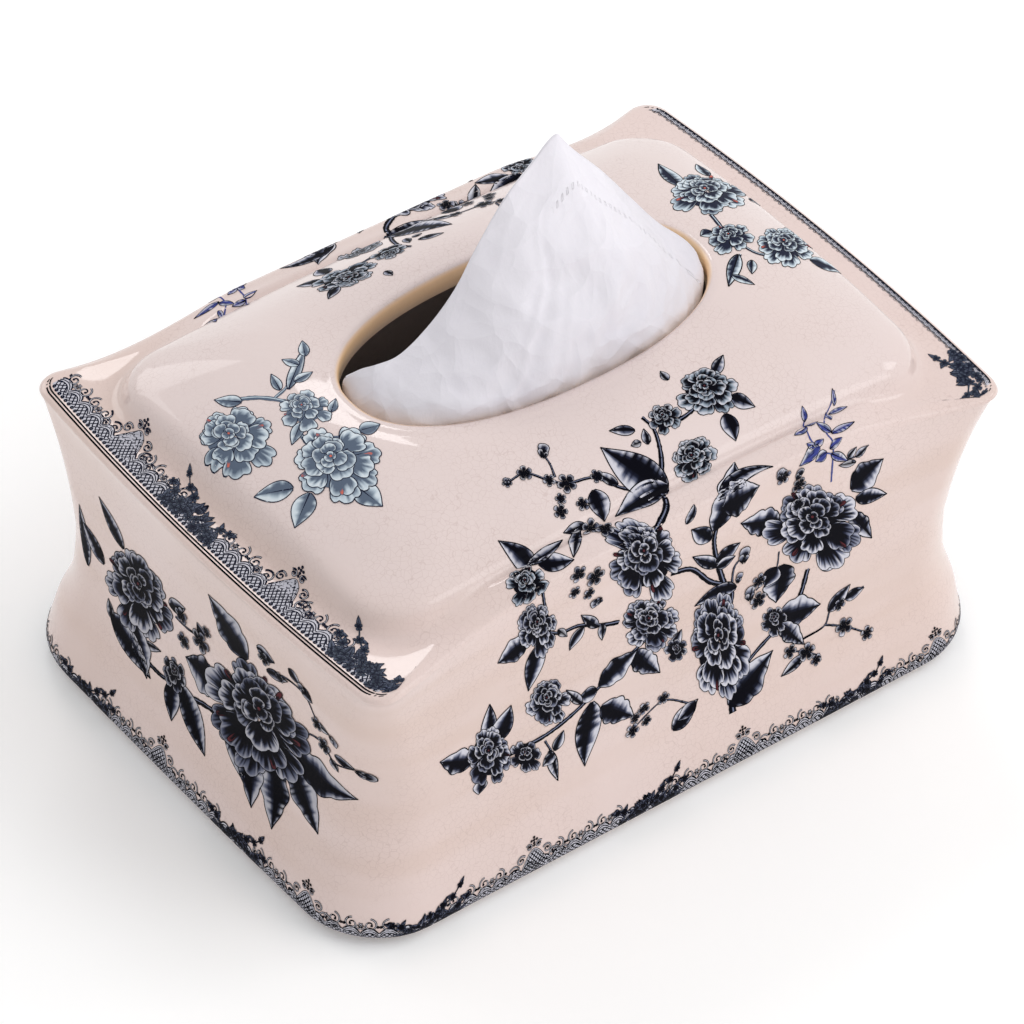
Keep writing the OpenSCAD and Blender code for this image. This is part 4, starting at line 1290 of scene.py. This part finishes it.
def crumple(points):
    """Small dents and soft ridges, as after a hand has held the sheet."""
    x, z = points[:, 0], points[:, 2]
    total = np.zeros(len(points))
    for number, phase, turn in seeded_waves("crumple", 14, 110, 620):
        way = x * math.cos(turn) + z * math.sin(turn)
        bend = 0.35 * np.sin(number * 0.4 * (z * math.cos(turn) - x * math.sin(turn)) + 2 * phase)
        total += ((1 - np.abs(np.sin(way * number / 2 + phase + bend))) ** 1.6 - 0.28) * 55 / number
    return total * 2.6 * MM


def cut_places(grid):
    """Each point's place on the flat cut: along the row, and in from the free edge, in metres."""
    along = np.concatenate([np.zeros((grid.shape[0], 1)),
                            np.cumsum(np.linalg.norm(np.diff(grid, axis=1), axis=2), 1)], 1)
    down = np.linalg.norm(np.diff(grid[::-1], axis=0), axis=2)
    inward = np.concatenate([np.zeros((1, grid.shape[1])), np.cumsum(down, 0)])[::-1]
    return np.stack([along, inward], 2)


def thick_sheet(grid, thickness):
    """The points and faces of a closed thin solid, on both sides of a grid."""
    rows, columns = grid.shape[:2]
    normal = np.cross(np.gradient(grid, axis=1), np.gradient(grid, axis=0))
    normal /= np.maximum(np.linalg.norm(normal, axis=2, keepdims=True), TINY_AREA)
    out = normal * thickness / 2
    front, back = (grid + out).reshape(-1, 3), (grid - out).reshape(-1, 3)
    count = rows * columns
    faces = grid_faces(rows, columns, False)
    index = np.arange(count).reshape(rows, columns)
    rim = np.concatenate([index[0], index[1:, -1], index[-1, -2::-1], index[-2:0:-1, 0]])
    edge = np.stack([rim, np.roll(rim, -1), np.roll(rim, -1) + count, rim + count], 1)
    return np.concatenate([front, back]), np.concatenate([faces, faces[:, ::-1] + count, edge[:, ::-1]])


built = {}


def made_once(name, make):
    """A form or material, made the first time that it is asked for."""
    if name not in built:
        built[name] = make()
    return built[name]


def cover_form():
    """The cover's surface."""
    return made_once("form", lambda: CoverForm(bpy.context.scene.cover_sizes))


class COVER_OT_shell(bpy.types.Operator):
    """Build the glazed cover"""

    bl_idname = "tissue_cover.shell"
    bl_label = "Glazed cover"

    def execute(self, context):
        scene = context.scene
        form = cover_form()
        rings = np.concatenate([form.outer, form.inner])
        rows, columns = rings.shape[:2]
        foot = np.arange(columns)
        last = foot + (rows - 1) * columns
        faces = np.concatenate([grid_faces(rows, columns, True),
                                np.stack([last, np.roll(last, -1), np.roll(foot, -1), foot], 1)])
        piece = new_piece("glazed_cover", rings.reshape(-1, 3), faces, "cover",
                          glaze_material(scene.glaze_look, scene.cover_sizes))
        piece.data.materials.append(inside_material(scene.glaze_look))
        inner = np.zeros(len(faces), np.int32)
        inner[(len(form.outer) + 1) * columns:rows * columns - columns] = 1
        piece.data.polygons.foreach_set("material_index", inner)
        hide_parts("cover_shell")
        return {"FINISHED"}


class COVER_OT_sprays(bpy.types.Operator):
    """Paint the sprays on the four sides and on top"""

    bl_idname = "tissue_cover.sprays"
    bl_label = "Painted sprays"

    def execute(self, context):
        form, look = cover_form(), context.scene.paint_look
        for name, axis, sign, draw in (
                ("spray_front", 0, -1, front_spray), ("blossoms_front", 0, -1, front_blossoms),
                ("spray_rear", 0, 1, front_spray), ("blossoms_rear", 0, 1, front_blossoms),
                ("spray_left", 1, -1, end_spray), ("spray_right", 1, 1, end_spray)):
            art = Drawing(name, look.rust)
            draw(art, look)
            if sign > 0:
                art.mirrored()
            art.made(name, side_chart(form, axis, sign))
        art = Drawing("top", look.coral)
        top_sprays(art, look)
        art.made("sprays_top", PlanChart(form))
        return {"FINISHED"}


class COVER_OT_borders(bpy.types.Operator):
    """Paint the lace borders and the lines round the rims"""

    bl_idname = "tissue_cover.borders"
    bl_label = "Lace borders"

    RIM_MARGIN = 6
    FAR_SQUEEZE = 0.55
    # Marks along the skirt in millimetres: x on the front side for -1, or y on the left side for 0.
    MARKS = {"peaks": ((-53, -1), (20, -1), (92, -1), (10, 0), (-56, 0)),
             "posies": ((-89, -1), (-13, -1), (60, -1), (43, 0), (-24, 0))}

    def execute(self, context):
        form, look = cover_form(), context.scene.paint_look
        tones = tones_of(look)
        self.rims(form, look, tones)
        self.skirt(form, look, tones)
        return {"FINISHED"}

    def rims(self, form, look, tones):
        """The lace and lines along the edge of each short end, full on the left and narrow on the right."""
        # The rim lace's tones are drawn toward slate: partly the lace's own slate print, partly a painted
        # reflection of the light that washes the rim.
        slate_and_sheen_tones = tuple(mix(tone, np.array(look.slate), 0.3) for tone in tones[:3])
        slate_and_sheen_tones += (tones[3], mix(tones[4], tones[1], 0.6))
        reach = form.rim_b / MM - self.RIM_MARGIN
        for name, sign in (("left", -1), ("right", 1)):
            chart = side_chart(form, 1, sign)
            art = Drawing("lace " + name, look.rust)
            if sign < 0:
                lace(art, -reach, reach, 2.3, [-30, 42], [-66, 8], slate_and_sheen_tones, 0.9, 5.6)
            else:
                lace(art, -reach, reach, 1.1, [], [], slate_and_sheen_tones, 0.42, 2.6)
                art.points = [p * np.array([1, self.FAR_SQUEEZE]) for p in art.points]
                posy(art, reach - 5, 1.6, 0.9, slate_and_sheen_tones)
            for offset in ((0.3, 1.3) if sign < 0 else (0.3,)):
                art.ribbon([(x, offset) for x in np.arange(-reach - 2, reach + 2, 0.5)], 0.55, tones[4], 0)
            if sign > 0:
                art.mirrored()
            for k, p in enumerate(art.points):
                up = chart.height(form.rim_row, p[:, 0] * MM) / MM
                art.points[k] = np.stack([p[:, 0], p[:, 1] + up], 1)
            art.made(f"lace_rim_{name}", chart)

    def skirt(self, form, look, tones):
        """The lace round the skirt, in two halves."""
        chart = round_chart(form)
        whole = chart.along[-1] / MM
        marks = {}
        for kind, places in self.MARKS.items():
            spots = [(x, y * form.skirt_b / MM) if y else (-form.skirt_a / MM, x) for x, y in places]
            spots += [(-x, -y) for x, y in spots]
            marks[kind] = [chart.nearest(x * MM, y * MM) / MM for x, y in spots]
        for k, name in enumerate(("first", "second")):
            start, end = whole * k / 2, whole * (k + 1) / 2
            art = Drawing("lace skirt " + name, look.rust)
            peaks, posies = ([x for x in marks[kind] if start <= x < end] for kind in ("peaks", "posies"))
            lace(art, start, end, 2.9, peaks, posies, tones, 0.84, 6.4)
            for offset, width in ((1.2, 0.6), (2.3, 0.5)):
                art.ribbon([(x, offset) for x in np.linspace(start, end, 450)], width, tones[1], 0)
            art.made(f"lace_skirt_{name}", chart)


class COVER_OT_sheet(bpy.types.Operator):
    """Build the sheet of tissue that stands in the slot"""

    bl_idname = "tissue_cover.sheet"
    bl_label = "Tissue sheet"

    columns: IntProperty(name="Columns", default=150, min=20, description="Columns of the sheet's mesh")

    def execute(self, context):
        sizes = context.scene.tissue_sizes
        grid = sheet_points(cover_form(), sizes, self.columns)
        points, faces = thick_sheet(grid, sizes.sheet_thickness)
        piece = new_piece("tissue_sheet_soft", points, faces, "sheet",
                          made_once("paper", paper_material))
        places = np.tile(cut_places(grid).reshape(-1, 2), (2, 1))
        layer = piece.data.uv_layers.new(name="cut")
        loops = np.zeros(len(piece.data.loops), np.int32)
        piece.data.loops.foreach_get("vertex_index", loops)
        layer.data.foreach_set("uv", places[loops].astype(np.float32).ravel())
        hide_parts("tissue_sheet")
        return {"FINISHED"}


def rounded_ring(a, b, r, z, steps=14, run=40):
    """A rounded rectangle of points at one height, evenly spread along each part."""
    parts = []
    for x, y, start in ((a - r, b - r, 0), (r - a, b - r, 90), (r - a, r - b, 180), (a - r, r - b, 270)):
        turn = np.radians(start + 90 * np.arange(steps + 1) / steps)
        parts.append(np.array([x, y]) + r * headings(turn))
    ring = []
    for part, after in zip(parts, parts[1:] + parts[:1]):
        t = np.arange(1, run)[:, None] / run
        ring += [part, part[-1] * (1 - t) + after[0] * t]
    ring = np.concatenate(ring)
    return np.concatenate([ring, np.full((len(ring), 1), z)], 1)


def capped_faces(rows, columns, start=0):
    """Quads round a closed grid, and a face over each of its ends."""
    first = list(range(start, start + columns))
    last = [k + (rows - 1) * columns for k in first]
    return grid_faces(rows, columns, True, start).tolist() + [first[::-1], last]


def pack_sizes(form, sizes):
    """Half length, half width and corner radius of the stack."""
    a, b = (half - form.size.waist_inset - form.size.wall - sizes.pack_gap
            for half in (form.skirt_a, form.skirt_b))
    return a, b, sizes.stack_corner


class COVER_OT_stack(bpy.types.Operator):
    """Build the stack of folded tissues"""

    bl_idname = "tissue_cover.stack"
    bl_label = "Stack of tissues"

    plies: IntProperty(name="Plies", default=44, min=10, description="Folded edges seen on the stack's sides")

    # A ply's rings: how high up the ply, as a share of it, and how far back in millimetres.
    PLY_RINGS = ((0.04, 0.75), (0.3, 0.08), (0.7, 0.08), (0.96, 0.75))
    TOP_RINGS = 24

    def execute(self, context):
        sizes = context.scene.tissue_sizes
        a, b, r = pack_sizes(cover_form(), sizes)
        chance = random.Random(5)
        rings = []
        pitch = sizes.stack_height / self.plies
        for k in range(self.plies):
            z, back = sizes.film + k * pitch, chance.uniform(0.0, 0.5) * MM
            for share, groove in self.PLY_RINGS:
                inset = back + groove * MM
                rings.append(rounded_ring(a - inset, b - inset, r, z + share * pitch))
        top = sizes.film + sizes.stack_height - 0.1 * MM
        for share in np.linspace(0.97, 0.02, self.TOP_RINGS):
            ring = rounded_ring(a * share, b * share, r * share, top)
            crease = np.exp(-(ring[:, 1] / (1.2 * MM)) ** 2) * 0.8 * MM
            swell = 0.25 * MM * np.sin(ring[:, 0] / (9 * MM) + 2 * np.sin(ring[:, 1] / (14 * MM)))
            ring[:, 2] -= crease + abs(swell)
            rings.append(ring)
        grid = np.array(rings)
        piece = new_piece("folded_tissues", grid.reshape(-1, 3), capped_faces(*grid.shape[:2]),
                          "refill", made_once("paper", paper_material))
        piece.data.uv_layers.new(name="cut")
        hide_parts("tissue_stack")
        return {"FINISHED"}


class COVER_OT_film(bpy.types.Operator):
    """Build the pack's film, torn open on top and sealed at both ends"""

    bl_idname = "tissue_cover.film"
    bl_label = "Film of the pack"

    tear_length: length("Tear length", 120, "Length of the tear in the film")
    tear_width: length("Tear width", 40, "Width of the tear in the film")
    seam: length("Seam", 8, "Width of the sealed seams")

    BASE_SHARES = (0.02, 0.3, 0.6, 0.9, 1)
    SIDE_RINGS, TOP_RINGS, INNER_TOP_RINGS = 40, 22, 8
    RAGGED = 0.5 * MM
    SEAM_RINGS, SEAM_STEPS = 160, 10
    SEAM_DEPTH = 0.65 * MM
    CRIMP_DEPTH, CRIMP_PITCH = 0.12 * MM, 0.55 * MM
    PUCKER_DEPTH = 0.45
    PUCKER_REACH = 3 * MM

    def execute(self, context):
        sizes = context.scene.tissue_sizes
        a, b, r = (part + sizes.film_gap for part in pack_sizes(cover_form(), sizes))
        tall = sizes.film + sizes.stack_height + sizes.film_gap
        skin = sizes.film
        tear = rounded_ring(self.tear_length / 2, self.tear_width / 2, self.tear_width * 0.49, tall)
        chance = random.Random(9)
        torn = np.array([chance.uniform(-self.RAGGED, self.RAGGED) for _ in tear])
        torn = (torn + np.roll(torn, 1) + np.roll(torn, 2)) / 3
        tear[:, :2] *= (1 + torn[:, None] / (self.tear_width / 2))
        outer = [rounded_ring((a + skin) * share, (b + skin) * share, (r + skin) * share, 0)
                 for share in self.BASE_SHARES]
        outer += [rounded_ring(a + skin, b + skin, r + skin, t * (tall + skin))
                  for t in np.linspace(0.02, 0.98, self.SIDE_RINGS)]
        outer += self.drawn_in(rounded_ring(a + skin, b + skin, r + skin, tall + skin), tear,
                               np.linspace(0, 1, self.TOP_RINGS), tall + skin)
        outer = np.array(outer)
        outer += self.wrinkles(outer, tall)
        inner = self.drawn_in(rounded_ring(a, b, r, tall), tear, np.linspace(1, 0, self.INNER_TOP_RINGS),
                              tall + 0.05 * MM)
        inner += [rounded_ring(a, b, r, z) for z in (tall * 0.9, tall / 2, skin + 0.1 * MM)]
        inner += [rounded_ring(a * share, b * share, r * share, skin * 0.6) for share in (0.99, 0.5, 0.02)]
        points, faces = [], []
        strips = [self.strip(sign, a + skin, b - r, tall) for sign in (-1, 1)]
        for grid in (np.concatenate([outer, inner]), *strips):
            faces += capped_faces(*grid.shape[:2], sum(map(len, points)))
            points.append(grid.reshape(-1, 3))
        piece = new_piece("film_pack", np.concatenate(points), faces, "refill",
                          self.film_material(sizes))
        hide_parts("refill_pouch")
        return {"FINISHED"}

    def drawn_in(self, edge, tear, shares, z):
        """Rings at one height from the pack's edge to the tear."""
        rings = [mix(edge, tear, share) for share in shares]
        for ring in rings:
            ring[:, 2] = z
        return rings

    def wrinkles(self, grid, tall):
        """Small outward puckers of the film on the pack's sides and top."""
        x, y, z = grid[..., 0], grid[..., 1], grid[..., 2]
        side = ease((z - 4 * MM) / (6 * MM))
        rise = np.zeros_like(x)
        for number, phase, turn in seeded_waves("film", 10, 120, 520):
            way = x * math.cos(turn) + y * math.sin(turn) + z * math.sin(2 * turn)
            rise += (1 - abs(np.sin(way * number / 2 + phase))) ** 4 * 60 / number
        out = np.clip(rise * 0.12, 0, self.PUCKER_DEPTH) * MM * side
        reach_x, reach_y = abs(x).max() - self.PUCKER_REACH, abs(y).max() - self.PUCKER_REACH
        away = np.stack([np.sign(x) * (abs(x) > reach_x), np.sign(y) * (abs(y) > reach_y), z > tall], -1)
        return away * out[..., None]

    def strip(self, sign, a, half, tall):
        """A crimped seam folded flat against an end of the pack: rings across it, stacked along y."""
        z = tall - self.seam * (1 - np.linspace(0, 1, self.SEAM_STEPS))
        level = np.ones(self.SEAM_STEPS)
        rings = []
        for y in np.linspace(-half, half, self.SEAM_RINGS):
            ridge = self.CRIMP_DEPTH * math.sin(y / self.CRIMP_PITCH)
            near, far = (np.stack([level * sign * x, level * y, z], 1)
                         for x in (a - 0.1 * MM, a + self.SEAM_DEPTH + ridge))
            rings.append(np.concatenate([near, far[::-1]]))
        return np.array(rings)[::sign]

    def film_material(self, sizes):
        """Milky film with a soft print of dots and faint scuffs."""
        look = material_look("milky_film")
        cloud = look.noise(28.0, 3.0)
        printed = look.cells(160.0, look.place(), Randomness=0.0).step(0.22, 0.16) * 0.35
        base = look.blend(sizes.cloud, linear(188, 204, 220), cloud.step(0.35, 0.7) * 0.4)
        base = look.blend(base, linear(150, 178, 206), printed)
        scuffs = look.noise(1.0, 4.0, 0.6, look.stretched((220, 900, 700)))
        bump = look.bump(scuffs * 0.6 + cloud * 0.8, 0.0004)
        return look.finish(base_color=base, roughness=0.3, coat_weight=0.5, coat_roughness=0.15, normal=bump)


class COVER_OT_stage(bpy.types.Operator):
    """Set the floor, the lamps and the camera"""

    bl_idname = "tissue_cover.stage"
    bl_label = "Studio"

    FLOOR_REACH = 3.0
    FLOOR_STEPS = 12
    LAMP_TARGET = Vector((0, 0, 0.08))
    # Each lamp's place, size, power, colour and whether the gloss mirrors it.
    LAMPS = {
        "lamp_key": ((0.7, -0.6, 1.4), 1.3, 6.7, (1.0, 0.985, 0.98), False),
        "lamp_window": ((0.37, 0.84, 1.14), 0.38, 1.8, (1.0, 1.0, 1.0), True),
        "lamp_side": ((1.05, -0.35, 0.85), 0.3, 0.5, (1.0, 1.0, 1.0), True),
        "lamp_front": ((0.5, -1.4, 0.6), 1.0, 1.7, (1.0, 0.99, 0.98), False),
        "lamp_ridge": ((0.75, -1.0, 0.9), 0.7, 1.8, (1.0, 1.0, 1.0), True),
        "lamp_haze": ((-0.25, 1.25, 0.72), 0.85, 2.6, (1.0, 1.0, 1.0), True)}

    def execute(self, context):
        scene = context.scene
        self.floor(scene)
        self.sky(scene)
        for name, (place, size, power, colour, mirrored) in self.LAMPS.items():
            lamp = bpy.data.lights.new(name, "AREA")
            lamp.shape, lamp.size, lamp.size_y = "RECTANGLE", size, size * 0.7
            lamp.energy, lamp.color = power, colour
            source = bpy.data.objects.new(name, lamp)
            source.location = place
            source.visible_glossy = mirrored
            source.rotation_euler = (self.LAMP_TARGET - Vector(place)).to_track_quat("-Z", "Y").to_euler()
            scene.collection.objects.link(source)
        self.camera(scene)
        return {"FINISHED"}

    def floor(self, scene):
        """A white floor that far away gives way to plain white light."""
        look = material_look("studio_floor")
        away = look.node("ShaderNodeVectorMath", {"operation": "LENGTH"}, {0: look.place()}, "Value")
        far = away.step(0.4, 1.1)
        base = look.blend(linear(250, 250, 250), linear(0, 0, 0), far)
        glow = look.blend((0.125, 0.125, 0.125), (1.0, 1.0, 1.0), far)
        material = look.finish(base_color=base, roughness=0.9, emission_color=glow, emission_strength=1.0)
        mesh = bpy.data.meshes.new("studio_floor")
        line = np.linspace(-self.FLOOR_REACH, self.FLOOR_REACH, self.FLOOR_STEPS)
        grid = np.stack(np.meshgrid(line, line), 2).reshape(-1, 2)
        faces = grid_faces(self.FLOOR_STEPS, self.FLOOR_STEPS, False).tolist()
        mesh.from_pydata([(x, y, 0) for x, y in grid], [], faces)
        mesh.materials.append(material)
        floor = bpy.data.objects.new("studio_floor", mesh)
        scene.collection.objects.link(floor)

    def sky(self, scene):
        """A soft even light that shows white to the camera and to the gloss."""
        scene.world = bpy.data.worlds.new("studio_sky")
        look = Look(scene.world)
        camera, gloss, through = (look.node("ShaderNodeLightPath", out=f"Is {kind} Ray")
                                  for kind in ("Camera", "Glossy", "Transmission"))
        shown = look.math("MAXIMUM", look.math("MAXIMUM", camera, gloss), through)
        strength = look.node("ShaderNodeMapRange", None, {"Value": shown, "To Min": 0.64, "To Max": 1.0})
        light = look.node("ShaderNodeBackground", None, {"Color": (1, 1, 1, 1), "Strength": strength})
        look.node("ShaderNodeOutputWorld", None, {"Surface": light})

    def camera(self, scene):
        """The camera at the photograph's angle."""
        view = scene.studio_view
        a, e, r = view.azimuth, view.elevation, view.roll
        back = Vector((math.sin(a) * math.cos(e), -math.cos(a) * math.cos(e), math.sin(e)))
        right = (-back).cross(Vector((0, 0, 1))).normalized()
        up = right.cross(-back)
        right, up = right * math.cos(r) + up * math.sin(r), up * math.cos(r) - right * math.sin(r)
        data = bpy.data.cameras.new("camera")
        data.lens, data.sensor_width = view.lens, 36.0
        data.clip_start, data.clip_end = 0.05, 20.0
        eye = bpy.data.objects.new("camera", data)
        place = Vector(view.target) + back * view.distance
        eye.matrix_world = Matrix.Translation(place) @ Matrix((right, up, back)).transposed().to_4x4()
        scene.collection.objects.link(eye)
        scene.camera = eye


OPERATORS = (COVER_OT_shell, COVER_OT_sprays, COVER_OT_borders, COVER_OT_sheet, COVER_OT_stack, COVER_OT_film,
             COVER_OT_stage)
GROUPS = {"cover_sizes": CoverSizes, "glaze_look": GlazeLook, "paint_look": PaintLook,
          "tissue_sizes": TissueSizes, "studio_view": StudioView}


class COVER_PT_panel(bpy.types.Panel):
    """Lists the pieces in the sidebar"""

    bl_label = "Tissue Cover"
    bl_idname = "COVER_PT_panel"
    bl_space_type = "VIEW_3D"
    bl_region_type = "UI"
    bl_category = "Tissue Cover"

    def draw(self, context):
        for name, group in GROUPS.items():
            box = self.layout.box()
            for key in group.__annotations__:
                box.prop(getattr(context.scene, name), key)
        for operator in OPERATORS:
            self.layout.operator(operator.bl_idname)


def register():
    for group in GROUPS.values():
        bpy.utils.register_class(group)
    for name, group in GROUPS.items():
        setattr(bpy.types.Scene, name, PointerProperty(type=group))
    for operator in OPERATORS:
        bpy.utils.register_class(operator)
    bpy.utils.register_class(COVER_PT_panel)


def unregister():
    bpy.utils.unregister_class(COVER_PT_panel)
    for operator in reversed(OPERATORS):
        bpy.utils.unregister_class(operator)
    for name, group in GROUPS.items():
        delattr(bpy.types.Scene, name)
        bpy.utils.unregister_class(group)


def main():
    """Registers the add-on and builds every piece."""
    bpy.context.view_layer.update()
    register()
    for operator in OPERATORS:
        group, name = operator.bl_idname.split(".")
        getattr(getattr(bpy.ops, group), name)()
    bpy.context.scene.view_settings.view_transform = "Standard"


if __name__ == "__main__":
    main()
